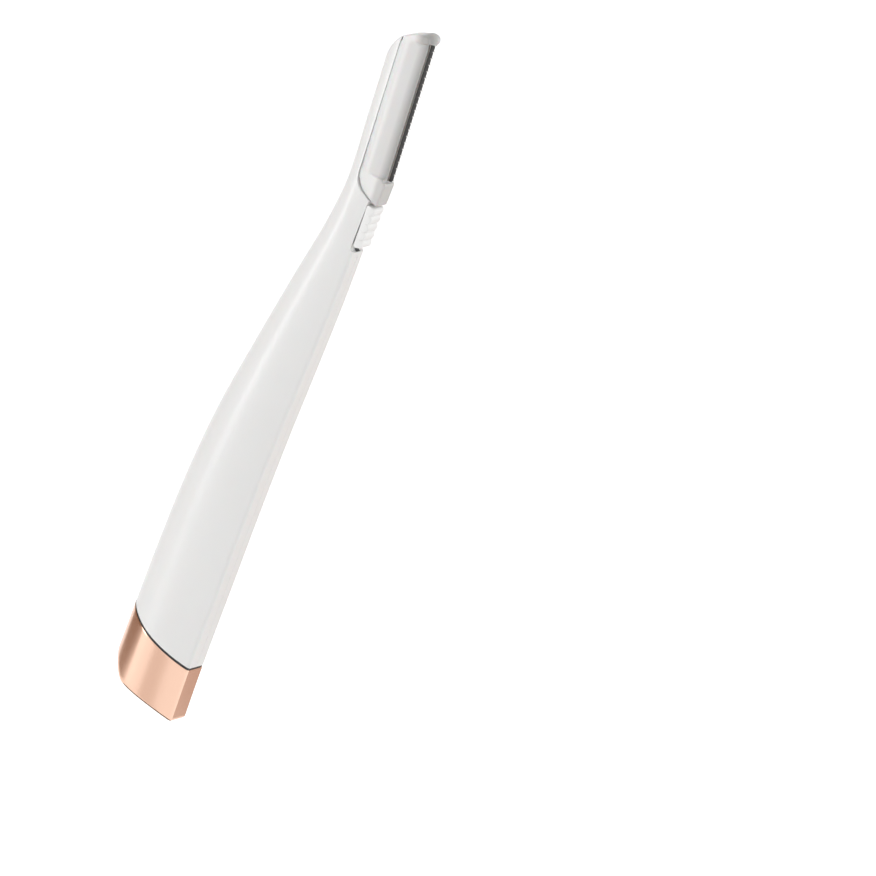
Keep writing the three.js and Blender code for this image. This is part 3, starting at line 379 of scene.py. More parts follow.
@dataclass(frozen=True)
class HeadFrame:
    """Place and lean of the head: w runs from the cutting edge to the spine, v along the blade.

    Attributes:
        foot_x: Place of the cutting edge's lower end along X.
        foot_height: Height of that end.
        lean: Lean of the head towards the spine, in degrees.
        blade_length: Length of the blade.
        frame_back: Depth of the cartridge from the cutting edge.
        gap: Gap between the cartridge and the head.
        neck_front: Place (w, v) where the slanted line under the cartridge starts.
        neck_slope: Rise of that line.
        neck_turn: Depth at which the line turns up.
        neck_end: Height where it has become the frame's back.
        top: Points (w, v) of the curve over the top of the head.
        tongue_neck: Half width and depth of the neck of the cartridge's tongue.
        tongue_head: Half width and depth of its wider back.
        tongue_end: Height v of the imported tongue's upper end.
        neck_roof: Height v that the line under the cartridge keeps below inside the handle.
        neck_steps: Facets of the bend at its end.
        passes: Passes in which a height settles at a place along X.
        halvings: Halvings that find a depth on the curve over the top.
    """

    foot_x: float = -13.7
    foot_height: float = 122.2
    lean: float = 3.2
    blade_length: float = 30.2
    frame_back: float = 6.4
    gap: float = 0.03
    neck_front: Pair = (1.65, -5.1)
    neck_slope: float = 0.62
    neck_turn: float = 4.0
    neck_end: float = 0.6
    top: tuple[Pair, ...] = ((5.6, 30.4), (8.4, 29.0), (9.4, 23.6))
    tongue_neck: Pair = (0.5, 0.85)
    tongue_head: Pair = (1.0, 1.45)
    tongue_end: float = 27.0
    neck_roof: float = -0.4
    neck_steps: int = 14
    passes: int = 4
    halvings: int = 30

    def wand(self, w: float, v: float) -> Pair:
        """Place along X and height of a point of the head."""
        lean = math.radians(self.lean)
        return (
            self.foot_x + w * math.cos(lean) + v * math.sin(lean),
            self.foot_height - w * math.sin(lean) + v * math.cos(lean),
        )

    def point(self, w: float, y: float, v: float) -> Vector:
        """A point of the head in the frame."""
        x, height = self.wand(w, v)
        return row(x, y, height)

    def depth(self, x: float, height: float) -> Pair:
        """Depth and height of a place in the head.

        Args:
            x: Place along X.
            height: Height above the cap's lowest corner.

        Returns:
            The depth w and the height v.
        """
        lean = math.radians(self.lean)
        dx, dz = x - self.foot_x, height - self.foot_height
        return dx * math.cos(lean) - dz * math.sin(lean), dx * math.sin(lean) + dz * math.cos(lean)

    def locate(self, point: Vector) -> Pair:
        """Depth w and height v of a point in the frame."""
        return self.depth(point.x / MM, point.z / MM - SHIFT)

    def direction(self, w: float, v: float) -> Vector:
        """A direction of the head in the frame."""
        lean = math.radians(self.lean)
        return Vector(
            (w * math.cos(lean) + v * math.sin(lean), 0.0, v * math.cos(lean) - w * math.sin(lean))
        )

    def neck_line(self, w: float) -> float:
        """Height v of the slanted line under the cartridge."""
        return self.neck_front[1] + self.neck_slope * (w - self.neck_front[0])

    def neck_points(self, gap: float) -> list[Pair]:
        """The bend from the slanted line into the frame's back.

        Args:
            gap: Gap between the cartridge and the line.

        Returns:
            Points (w, v) of the bend.
        """
        back = self.frame_back + gap
        drop = gap * math.hypot(1.0, self.neck_slope)
        a = (self.neck_turn, self.neck_line(self.neck_turn) - drop)
        b = (back, self.neck_line(back) - drop)
        c = (back, self.neck_end)
        return [bezier(a, b, c, share) for share in shares(self.neck_steps)]

    def top_height(self, x: float) -> float:
        """Height of the head's top.

        Args:
            x: Place along X.

        Returns:
            The height above the cap's lowest corner.
        """
        height = self.foot_height + self.top[0][1]
        for _ in range(self.passes):
            w, _v = self.depth(x, height)
            height = self.wand(w, self.top_at(w))[1]
        return height

    def top_below(self, x: float, drop: float) -> float:
        """Height at a place along X of a line that runs a distance under the head's top."""
        return self.top_height(x) - drop

    def top_at(self, w: float) -> float:
        """Height of the head's top at a depth.

        Args:
            w: The depth.

        Returns:
            The height v.
        """
        start, pull, end = self.top
        if w <= start[0]:
            return start[1]
        if w >= end[0]:
            return end[1]
        low, high = 0.0, 1.0
        for _ in range(self.halvings):
            middle = (low + high) / 2
            if bezier(start, pull, end, middle)[0] < w:
                low = middle
            else:
                high = middle
        return bezier(start, pull, end, low)[1]

    def under_neck(self, x: float, wall: float) -> float:
        """Height of the line under the cartridge.

        Args:
            x: Place along X.
            wall: How far the line is moved down.

        Returns:
            The height above the cap's lowest corner.
        """
        drop = wall * math.hypot(1.0, self.neck_slope)
        height = self.foot_height
        for _ in range(self.passes):
            w, _v = self.depth(x, height)
            height = self.wand(w, min(self.neck_line(w), self.neck_roof) - drop)[1]
        return height


def bezier(a: Pair, b: Pair, c: Pair, t: float) -> Pair:
    """A point on the curve from a to c that is pulled towards b."""
    return (
        (1 - t) ** 2 * a[0] + 2 * t * (1 - t) * b[0] + t**2 * c[0],
        (1 - t) ** 2 * a[1] + 2 * t * (1 - t) * b[1] + t**2 * c[1],
    )


FORM = WandForm()
SEAM = Seam()
HEAD = HeadFrame()


# Mesh work


def ring_edges(bm: BMesh, verts: Sequence[BMVert]) -> list[BMEdge]:
    """Edges of a closed ring of vertices."""
    return [bm.edges.get((a, b)) for a, b in zip(verts, [*verts[1:], verts[0]])]


def drawn_out(bm: BMesh, edges: Sequence[BMEdge]) -> list[BMVert]:
    """Draws edges out into faces and gives their new vertices, still in the old places."""
    drawn = bmesh.ops.extrude_edge_only(bm, edges=edges)["geom"]
    return [item for item in drawn if isinstance(item, BMVert)]


def outward(bm: BMesh) -> None:
    """Turns all faces outwards."""
    bmesh.ops.recalc_face_normals(bm, faces=bm.faces)


def loft(bm: BMesh, rings: Sequence[Sequence[Vector]]) -> list[list[BMVert]]:
    """A skin through closed rings of equal counts, drawn out ring by ring.

    Args:
        bm: Mesh that takes the skin.
        rings: Points of each ring, in order.

    Returns:
        The vertices of each ring.
    """
    made = bmesh.ops.create_circle(bm, segments=len(rings[0]), radius=1.0)
    verts: list[BMVert] = made["verts"]
    loops: list[list[BMVert]] = []
    for ring in rings:
        if loops:
            fresh = set(drawn_out(bm, ring_edges(bm, verts)))
            verts = [
                next(e.other_vert(vert) for e in vert.link_edges if e.other_vert(vert) in fresh)
                for vert in verts
            ]
        for vert, place in zip(verts, ring):
            vert.co = place
        loops.append(verts)
    return loops


def close_across(bm: BMesh, verts: Sequence[BMVert]) -> None:
    """Closes a ring by drawing both halves sideways to the middle plane.

    Args:
        bm: Mesh with the ring.
        verts: The ring's vertices in order.
    """
    for vert in drawn_out(bm, ring_edges(bm, verts)):
        vert.co.y = 0.0
    clean(bm)


def clean(bm: BMesh) -> None:
    """Joins vertices that coincide and drops faces without area."""
    bmesh.ops.remove_doubles(bm, verts=bm.verts, dist=WELD)
    bmesh.ops.dissolve_degenerate(bm, dist=WELD, edges=bm.edges)


def cut(bm: BMesh, origin: Vector, normal: Vector, near: Callable[[Vector], bool]) -> None:
    """Draws a plane's line over a part of the skin.

    Args:
        bm: The skin.
        origin: A point of the plane.
        normal: The plane's normal.
        near: Whether a face's middle lies near the cut.
    """
    faces = [face for face in bm.faces if near(face.calc_center_median())]
    edges = {edge for face in faces for edge in face.edges}
    verts = {vert for face in faces for vert in face.verts}
    bmesh.ops.bisect_plane(
        bm, geom=[*verts, *edges, *faces], dist=WELD, plane_co=origin, plane_no=normal
    )


def carve(bm: BMesh, planes: Sequence[Plane], near: Callable[[Vector], bool]) -> None:
    """Takes away the skin inside a room with flat walls.

    Args:
        bm: The skin.
        planes: A point and an outward normal for each wall.
        near: Whether a face's middle lies where the room may reach.
    """
    for origin, normal in planes:
        cut(bm, origin, normal, near)
    inside = []
    for face in bm.faces:
        middle = face.calc_center_median()
        if near(middle) and all((middle - o).dot(n) < 0.0 for o, n in planes):
            inside.append(face)
    bmesh.ops.delete(bm, geom=inside, context="FACES")


def open_edges(
    bm: BMesh, keep: Callable[[BMEdge], bool] = lambda edge: True
) -> list[BMEdge]:
    """Edges with one face that pass a test."""
    return [edge for edge in bm.edges if edge.is_boundary and keep(edge)]


def smooth(bm: BMesh, verts: Sequence[BMVert]) -> None:
    """Evens out a skin once."""
    bmesh.ops.smooth_vert(
        bm,
        verts=verts,
        factor=SMOOTH_FACTOR,
        use_axis_x=True,
        use_axis_y=True,
        use_axis_z=True,
    )


def carried(node: Object) -> BMesh:
    """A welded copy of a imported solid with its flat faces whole.

    Args:
        node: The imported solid.

    Returns:
        A new mesh to shape further.
    """
    bm = bmesh.new()
    bm.from_mesh(node.data)
    bmesh.ops.remove_doubles(bm, verts=bm.verts, dist=NODE_WELD)
    bmesh.ops.dissolve_limit(
        bm, angle_limit=FLAT_ANGLE, verts=bm.verts, edges=bm.edges, delimit={"NORMAL"}
    )
    return bm


def placed(bm: BMesh, name: str) -> Object:
    """Turns a mesh into an object of the scene.

    Args:
        bm: The mesh; it is freed.
        name: Name of the object and its mesh.

    Returns:
        The new object.
    """
    mesh = bpy.data.meshes.new(name)
    bm.to_mesh(mesh)
    bm.free()
    thing = bpy.data.objects.new(name, mesh)
    bpy.context.scene.collection.objects.link(thing)
    return thing


def dropped(thing: Object) -> None:
    """Takes an object and its mesh out of the scene.

    Args:
        thing: The object.
    """
    mesh = thing.data
    bpy.data.objects.remove(thing)
    bpy.data.meshes.remove(mesh)


def reshaped(bm: BMesh, alter: Callable[[Object], None]) -> BMesh:
    """A mesh as a modifier leaves it.

    Args:
        bm: The mesh; it is freed.
        alter: Gives the modifier to an object with that mesh.

    Returns:
        The altered mesh.
    """
    blank = placed(bm, "blank")
    alter(blank)
    seen = blank.evaluated_get(bpy.context.evaluated_depsgraph_get())
    result = bmesh.new()
    result.from_mesh(seen.to_mesh())
    dropped(blank)
    return result


@dataclass(frozen=True)
class Rounding:
    """How a piece's sharp edges are rounded.

    Attributes:
        width: Width of the rounding in millimetres.
        segments: Facets across it.
    """

    width: float
    segments: int = 2


def finish_piece(
    bm: BMesh,
    name: str,
    materials: Sequence[Material],
    body: str,
    stands_for: Sequence[str],
    rounding: Rounding | None = None,
) -> Object:
    """Turns a finished mesh into a piece that rides on a body.

    Args:
        bm: The mesh; it is freed.
        name: Name of the piece.
        materials: Materials in the order of the mesh's material numbers.
        body: Body that carries the piece.
        stands_for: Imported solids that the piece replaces.
        rounding: Rounding of its sharp edges.

    Returns:
        The new object.
    """
    piece = placed(bm, name)
    mesh = piece.data
    for material in materials:
        mesh.materials.append(material)
    mesh.polygons.foreach_set("use_smooth", [True] * len(mesh.polygons))
    if rounding is None:
        mesh.set_sharp_from_angle(angle=SOFT_ANGLE)
    else:
        bevel = piece.modifiers.new("rounded edges", "BEVEL")
        bevel.width = rounding.width * MM
        bevel.segments = rounding.segments
        bevel.limit_method = "ANGLE"
        bevel.angle_limit = SOFT_ANGLE
        bevel.miter_outer = "MITER_ARC"
        weighted = piece.modifiers.new("flat faces", "WEIGHTED_NORMAL")
        weighted.mode = "FACE_AREA"
        weighted.weight = FLAT_WEIGHT
    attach(piece, body)
    if stands_for:
        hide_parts(*stands_for)
    LOG.info("%s on %s, %d faces", name, body, len(mesh.polygons))
    return piece


# Finishes


def math_node(tree: NodeTree, operation: str, *values: NodeSocket | float) -> NodeSocket:
    """A math node fed by sockets or plain numbers.

    Args:
        tree: The node tree that takes the node.
        operation: What the node does.
        values: A socket or a number for each of its inputs.

    Returns:
        The node's result.
    """
    node = tree.nodes.new("ShaderNodeMath")
    node.operation = operation
    for socket, value in zip(node.inputs, values):
        if isinstance(value, float):
            socket.default_value = value
        else:
            tree.links.new(value, socket)
    return node.outputs[0]


def grain_group() -> ShaderNodeTree:
    """Fine moulded or drawn grain with soft blotches, shared by the finishes.

    Returns:
        A node group that gives a tone, a roughness and a height over the surface.
    """
    group = bpy.data.node_groups.new("moulded grain", "ShaderNodeTree")
    sockets = group.interface
    sockets.new_socket("Vector", in_out="INPUT", socket_type="NodeSocketVector")
    for name in ("Grain", "Blotch", "Shade", "Rough", "Rough Spread"):
        sockets.new_socket(name, in_out="INPUT", socket_type="NodeSocketFloat")
    sockets.new_socket("Base", in_out="INPUT", socket_type="NodeSocketColor")
    sockets.new_socket("Color", in_out="OUTPUT", socket_type="NodeSocketColor")
    for name in ("Roughness", "Height"):
        sockets.new_socket(name, in_out="OUTPUT", socket_type="NodeSocketFloat")
    nodes, links = group.nodes, group.links
    given = nodes.new("NodeGroupInput").outputs
    out = nodes.new("NodeGroupOutput").inputs

    def noise(scale: str, detail: float) -> NodeSocket:
        """A noise over the surface.

        Args:
            scale: Name of the input that gives its scale.
            detail: How many finer layers it has.

        Returns:
            The noise's value.
        """
        node = nodes.new("ShaderNodeTexNoise")
        node.inputs["Detail"].default_value = detail
        links.new(given["Vector"], node.inputs["Vector"])
        links.new(given[scale], node.inputs["Scale"])
        return node.outputs["Fac"]

    fine, broad = noise("Grain", 3.0), noise("Blotch", 2.0)
    centred = math_node(group, "SUBTRACT", math_node(group, "ADD", fine, broad), 1.0)
    shade = math_node(group, "MULTIPLY_ADD", centred, given["Shade"], 1.0)
    rough = math_node(group, "MULTIPLY_ADD", centred, given["Rough Spread"], given["Rough"])
    tone = nodes.new("ShaderNodeVectorMath")
    tone.operation = "SCALE"
    links.new(given["Base"], tone.inputs[0])
    links.new(shade, tone.inputs["Scale"])
    links.new(tone.outputs[0], out["Color"])
    links.new(rough, out["Roughness"])
    links.new(fine, out["Height"])
    return group


class Metal(Enum):
    """Whether a finish is a metal or a moulded plastic."""

    NO = 0.0
    YES = 1.0


@dataclass(frozen=True)
class Finish:
    """A surface finish and the detail it carries.

    Attributes:
        name: Name of the material.
        colour: Base colour.
        rough: Mean roughness.
        spread: Swing of the roughness.
        shade: Swing of the tone.
        grain: Grains per metre.
        blotch: Soft blotches per metre.
        depth: Depth of the grain in millimetres.
        metal: Whether it is a metal.
        stretch: Stretch of the grain along X, Y and Z.
        transmission: Share of light that passes through.
        subsurface: Share of light that spreads under the surface.
        coat: Weight of a clear coat.
        specular: Strength of the plain reflection.
        painted_shade: Darker colour of painted shade that it takes on where the mesh marks it.
    """

    name: str
    colour: Triple
    rough: float
    spread: float = 0.08
    shade: float = 0.04
    grain: float = 9000.0
    blotch: float = 120.0
    depth: float = 0.004
    metal: Metal = Metal.NO
    stretch: Triple = (1.0, 1.0, 1.0)
    transmission: float = 0.0
    subsurface: float = 0.0
    coat: float = 0.0
    specular: float = 0.5
    painted_shade: Triple | None = None

    def build(self, group: ShaderNodeTree) -> Material:
        """Makes the material.

        Args:
            group: The shared grain.

        Returns:
            The new material.
        """
        material = bpy.data.materials.new(self.name)
        material.use_nodes = True
        nodes, links = material.node_tree.nodes, material.node_tree.links
        shader = nodes["Principled BSDF"]
        place = nodes.new("ShaderNodeTexCoord")
        turn = nodes.new("ShaderNodeMapping")
        turn.inputs["Scale"].default_value = self.stretch
        links.new(place.outputs["Object"], turn.inputs["Vector"])
        detail = nodes.new("ShaderNodeGroup")
        detail.node_tree = group
        links.new(turn.outputs["Vector"], detail.inputs["Vector"])
        for name, value in (
            ("Grain", self.grain),
            ("Blotch", self.blotch),
            ("Shade", self.shade),
            ("Rough", self.rough),
            ("Rough Spread", self.spread),
            ("Base", (*self.colour, 1.0)),
        ):
            detail.inputs[name].default_value = value
        colour = detail.outputs["Color"]
        # Painted shade: where the mesh's mark says so, the colour turns to the darker painted
        # shade colour.
        if self.painted_shade is not None:
            mark = nodes.new("ShaderNodeAttribute")
            mark.attribute_name = PAINTED_SHADE_MARK
            mix = nodes.new("ShaderNodeMix")
            mix.data_type = "RGBA"
            links.new(mark.outputs["Fac"], mix.inputs["Factor"])
            links.new(colour, mix.inputs["A"])
            mix.inputs["B"].default_value = (*self.painted_shade, 1.0)
            colour = mix.outputs["Result"]
        links.new(colour, shader.inputs["Base Color"])
        links.new(detail.outputs["Roughness"], shader.inputs["Roughness"])
        bump = nodes.new("ShaderNodeBump")
        bump.inputs["Strength"].default_value = BUMP_STRENGTH
        bump.inputs["Distance"].default_value = self.depth * MM
        links.new(detail.outputs["Height"], bump.inputs["Height"])
        links.new(bump.outputs["Normal"], shader.inputs["Normal"])
        shader.inputs["Metallic"].default_value = self.metal.value
        shader.inputs["Transmission Weight"].default_value = self.transmission
        shader.inputs["Subsurface Weight"].default_value = self.subsurface
        shader.inputs["Subsurface Scale"].default_value = MM
        shader.inputs["Coat Weight"].default_value = self.coat
        shader.inputs["Specular IOR Level"].default_value = self.specular
        return material


WHITE_SHELL = Finish("satin white shell", (0.8, 0.795, 0.785), 0.3, 0.05, 0.02, subsurface=0.05)
WHITE_SLIDER = Finish("white slider", (0.84, 0.835, 0.825), 0.42, 0.06, 0.03, grain=7000.0)
ROSE_GOLD = Finish(
    "rose gold plating", (0.79, 0.53, 0.405), 0.2, 0.06, 0.05, grain=16000.0, depth=0.0012,
    metal=Metal.YES, stretch=(1.0, 1.0, 0.12),
)
# The frosted frame carries a painted shade colour at its nose, its chin and its blade seat.
FROSTED = Finish(
    "frosted cartridge", (0.86, 0.85, 0.84), 0.4, 0.08, 0.04, grain=6000.0, depth=0.006,
    transmission=0.12, subsurface=0.2, painted_shade=(0.38, 0.37, 0.355),
)
TAN_CLAMP = Finish(
    "tan clamp", (0.83, 0.765, 0.70), 0.3, 0.08, 0.06, grain=5000.0, blotch=300.0, depth=0.004,
    transmission=0.3, subsurface=0.2,
)
# Painted shade and dark reflection for the blade's edge strip: a near-black non-metal, not the
# steel's own colour.
BLADE_EDGE_SHADE = Finish(
    "honed edge painted shade", (0.035, 0.032, 0.03), 0.34, 0.1, 0.2, grain=30000.0, depth=0.001,
    stretch=(1.0, 1.0, 0.05),
)
BLADE_STEEL = Finish(
    "ground steel", (0.62, 0.6, 0.57), 0.26, 0.1, 0.1, grain=30000.0, depth=0.001, metal=Metal.YES,
    stretch=(0.06, 1.0, 1.0),
)
GUARD_STEEL = Finish(
    "bright guard wire", (0.86, 0.85, 0.83), 0.25, 0.08, 0.06, grain=20000.0, depth=0.001,
    metal=Metal.YES,
)
INNER_WHITE = Finish("inner white moulding", (0.74, 0.73, 0.71), 0.5, 0.08, 0.05)
NICKEL = Finish(
    "nickel plate", (0.66, 0.64, 0.6), 0.3, 0.1, 0.08, grain=24000.0, depth=0.001, metal=Metal.YES,
    stretch=(1.0, 1.0, 0.1),
)
SPRING_STEEL = Finish(
    "drawn spring wire", (0.56, 0.57, 0.58), 0.28, 0.1, 0.08, grain=20000.0, depth=0.001,
    metal=Metal.YES,
)
BOARD_GREEN = Finish("solder mask", (0.02, 0.11, 0.055), 0.45, 0.08, 0.15, blotch=600.0)
BLACK = Finish("moulded black", (0.02, 0.02, 0.022), 0.45, 0.08, 0.2)
CERAMIC = Finish("fired ceramic", (0.42, 0.3, 0.16), 0.6, 0.08, 0.1)
CLEAR = Finish("clear lens", (0.93, 0.93, 0.92), 0.08, 0.02, 0.02, depth=0.001, transmission=0.8)
CELL_SLEEVE = Finish(
    "cell sleeve", (0.05, 0.075, 0.1), 0.3, 0.06, 0.1, grain=3000.0, depth=0.003, coat=0.4
)


@dataclass
class Palette:
    """All materials, each made once.

    Attributes:
        group: The shared grain.
        made: The materials made so far, by name.
    """

    group: ShaderNodeTree = field(default_factory=grain_group)
    made: dict[str, Material] = field(default_factory=dict)

    def get(self, finish: Finish) -> Material:
        """The material of a finish, made when it is first asked for.

        Args:
            finish: The finish.

        Returns:
            Its material.
        """
        if finish.name not in self.made:
            self.made[finish.name] = finish.build(self.group)
        return self.made[finish.name]


# Sub-assemblies


@dataclass
class HandleShells:
    """The two half shells of the handle, with the head's spine behind the cartridge.

    Attributes:
        palette: The materials.
        edge: Rounding of the shells' edges.
        wall: Thickness of the shell.
        seam_gap: Gap at the seam to the cap.
        parting: Gap between the half shells.
        recess_depth: Depth of the slider's recess behind the front face.
        recess_foot: Height of the recess's lower end.
        groove_gap: Gap round the cartridge's tongue.
        root_gap: Gap beside the tongue's neck, which clears the fillet at its root.
        groove_foot: Height v of its groove's lower end.
        recess_turn: Rounding of the recess's lower corner.
        rim: Rounding of the head's upper edge.
        rim_steps: Facets of that rounding.
        level: Height above the edge's foot where the rings lie level.
        head_rings: Rings of the outer skin above that height.
        outer_rings: Rings of the outer skin below it.
        inner_rings: Rings of the inner skin.
        room_rise: How far the last plane of the cartridge's room runs up.
        room_reach: How far under the edge's foot the room may reach.
        recess_lead: How far the recess's lower end runs out in front.
        recess_rise: How far its floor runs up.
        recess_level: Height at which its depth is measured.
        recess_reach: How far under and behind it the skin may be cut.
        turn_steps: Facets of its rounded corner.
        bar_lead: How far the groove's room starts in front of the head.
        bar_rise: How far it runs out above the blade's end.
    """

    palette: Palette
    edge: Rounding = Rounding(0.1)
    wall: float = 1.2
    seam_gap: float = 0.5
    parting: float = 0.05
    recess_depth: float = 0.8
    recess_foot: float = 106.2
    groove_gap: float = 0.1
    root_gap: float = 0.24
    groove_foot: float = 2.2
    recess_turn: float = 0.75
    rim: float = 0.7
    rim_steps: int = 6
    level: float = 10.0
    head_rings: int = 36
    outer_rings: int = 120
    inner_rings: int = 40
    room_rise: float = 5.0
    room_reach: float = 10.0
    recess_lead: float = 5.0
    recess_rise: float = 20.0
    recess_level: float = 112.0
    recess_reach: Pair = (3.0, 0.6)
    turn_steps: int = 6
    bar_lead: float = 1.0
    bar_rise: float = 5.0

    def skin(self) -> BMesh:
        """The whole skin: outside, rim at the seam, inside up to the neck.

        Returns:
            A closed mesh before any cut.
        """
        bm = bmesh.new()
        lift = self.seam_gap / 2
        rings = []
        for step in range(self.rim_steps, 0, -1):
            angle = step / self.rim_steps * math.pi / 2
            wall = self.rim * (1 - math.cos(angle))
            drop = self.rim * (1 - math.sin(angle))
            rings.append(FORM.ring(wall, lambda x, d=drop: HEAD.top_below(x, d)))
        level = HEAD.foot_height + self.level
        roof = self.wall + HEAD.gap

        def level_at(x: float) -> float:
            """The level height, at any place along X."""
            return level

        def rim_at(x: float) -> float:
            """Height of the rim at the seam."""
            return SEAM.height(x) + lift

        def rounding_at(x: float) -> float:
            """Height where the rounding of the head's upper edge starts."""
            return HEAD.top_below(x, self.rim)

        def roof_at(x: float) -> float:
            """Height of the inner roof under the cartridge."""
            return HEAD.under_neck(x, roof)

        rings += FORM.rings(0.0, level_at, rounding_at, shares(self.head_rings)[:0:-1])
        rings += FORM.rings(0.0, rim_at, level_at, shares(self.outer_rings)[::-1])
        rings += FORM.rings(self.wall, rim_at, roof_at, shares(self.inner_rings))
        loops = loft(bm, rings)
        close_across(bm, loops[0])
        close_across(bm, [vert for vert in loops[-1] if vert.is_valid])
        outward(bm)
        return bm

    def room_planes(self) -> list[Plane]:
        """Planes round the cartridge's room.

        Returns:
            A point and a normal out of the room for each plane.
        """
        drop = HEAD.gap * math.hypot(1.0, HEAD.neck_slope)
        bend = HEAD.neck_points(HEAD.gap)
        last = (bend[-1][0], bend[-1][1] + self.room_rise)
        path = [(0.0, HEAD.neck_line(0.0) - drop), *bend, last]
        planes = []
        for (w0, v0), (w1, v1) in zip(path, path[1:]):
            planes.append((HEAD.point(w0, 0.0, v0), HEAD.direction(v1 - v0, w0 - w1).normalized()))
        return planes

    def half(self, side: Side) -> BMesh:
        """One half shell, cut for the cartridge, the slider and the tongue.

        Args:
            side: Which half.

        Returns:
            A closed mesh.
        """
        bm = self.skin()
        edge = self.parting / 2 * MM * side.value
        bmesh.ops.bisect_plane(
            bm,
            geom=[*bm.verts, *bm.edges, *bm.faces],
            dist=WELD,
            plane_co=(0.0, edge, 0.0),
            plane_no=(0.0, -side.value, 0.0),
            clear_outer=True,
        )
        self.cut_room(bm)
        self.cut_recess(bm)

        def beside(item: BMEdge) -> bool:
            """Whether an open edge lies off the parting plane."""
            return any(abs(vert.co.y - edge) > 2 * WELD for vert in item.verts)

        for vert in drawn_out(bm, open_edges(bm, beside)):
            vert.co.y = edge
        clean(bm)
        flat = []
        for face in bm.faces:
            if all(abs(vert.co.y - edge) < 2 * WELD for vert in face.verts):
                flat.append(face)
        bmesh.ops.delete(bm, geom=flat, context="FACES")
        bmesh.ops.holes_fill(bm, edges=open_edges(bm), sides=0)
        outward(bm)
        return self.cut_groove(bm)

    def recess_path(self) -> list[Pair]:
        """The recess's lower end, its rounded corner and its floor.

        Returns:
            Points (X, height) from the front to the upper end.
        """
        floor = self.recess_floor()
        foot, turn = self.recess_foot, self.recess_turn
        path = [(floor - self.recess_lead, foot)]
        for step in range(self.turn_steps + 1):
            angle = math.pi / 2 * step / self.turn_steps
            back, rise = 1 - math.sin(angle), 1 - math.cos(angle)
            path.append((floor - turn * back, foot + turn * rise))
        path.append((floor, foot + self.recess_rise))
        return path

    def recess_floor(self) -> float:
        """Place of the recess's floor along X."""
        return FORM.at(self.recess_level).front + self.recess_depth

    def cut_room(self, bm: BMesh) -> None:
        """Takes the cartridge's room out of the outer skin."""
        low = row(0.0, 0.0, HEAD.foot_height - self.room_reach).z
        carve(bm, self.room_planes(), lambda middle: middle.z > low)

    def cut_recess(self, bm: BMesh) -> None:
        """Takes the slider's recess out of the narrow front face.

        Args:
            bm: The half shell's skin.
        """
        path = self.recess_path()
        planes = []
        for (x0, z0), (x1, z1) in zip(path, path[1:]):
            planes.append((row(x0, 0.0, z0), Vector((z1 - z0, 0.0, x0 - x1)).normalized()))
        under, behind = self.recess_reach
        low = row(0.0, 0.0, self.recess_foot - under).z
        high = row(0.0, 0.0, HEAD.foot_height).z
        back = (self.recess_floor() + behind) * MM
        carve(bm, planes, lambda middle: low < middle.z < high and middle.x < back)

    def groove_bar(self) -> Object:
        """The room of the cartridge's tongue: a bar with a T-shaped section, open at the top.

        Returns:
            An object to take out of the half shells.
        """
        near = HEAD.frame_back - self.bar_lead
        step = HEAD.frame_back + HEAD.tongue_neck[1] - self.groove_gap
        back = HEAD.frame_back + HEAD.tongue_head[1] + self.groove_gap
        neck = HEAD.tongue_neck[0] + self.root_gap
        wide = HEAD.tongue_head[0] + self.groove_gap
        side = [(near, neck), (step, neck), (step, wide), (back, wide)]
        section = [*side, *((w, -y) for w, y in reversed(side))]
        ends = (self.groove_foot, HEAD.blade_length + self.bar_rise)
        bm = bmesh.new()
        loft(bm, [[HEAD.point(w, y, v) for w, y in section] for v in ends])
        bmesh.ops.holes_fill(bm, edges=bm.edges, sides=0)
        outward(bm)
        return placed(bm, "groove bar")

    def cut_groove(self, bm: BMesh) -> BMesh:
        """Sinks the tongue's groove into the head's inner face.

        Args:
            bm: The closed half shell; it is freed.

        Returns:
            The half shell with its share of the groove.
        """
        bar = self.groove_bar()

        def pierce(blank: Object) -> None:
            """Takes the bar out of the blank.

            Args:
                blank: The half shell.
            """
            groove = blank.modifiers.new("groove", "BOOLEAN")
            groove.operation = "DIFFERENCE"
            groove.solver = "EXACT"
            groove.object = bar

        grooved = reshaped(bm, pierce)
        dropped(bar)
        clean(grooved)
        return grooved

    def build(self) -> None:
        """Makes both half shells."""
        shell = self.palette.get(WHITE_SHELL)
        for side, name in ((Side.PLAIN, "shell_side_a"), (Side.CLAMP, "shell_side_b")):
            finish_piece(
                self.half(side),
                f"moulded_{name}",
                [shell],
                "handle",
                [name],
                self.edge,
            )


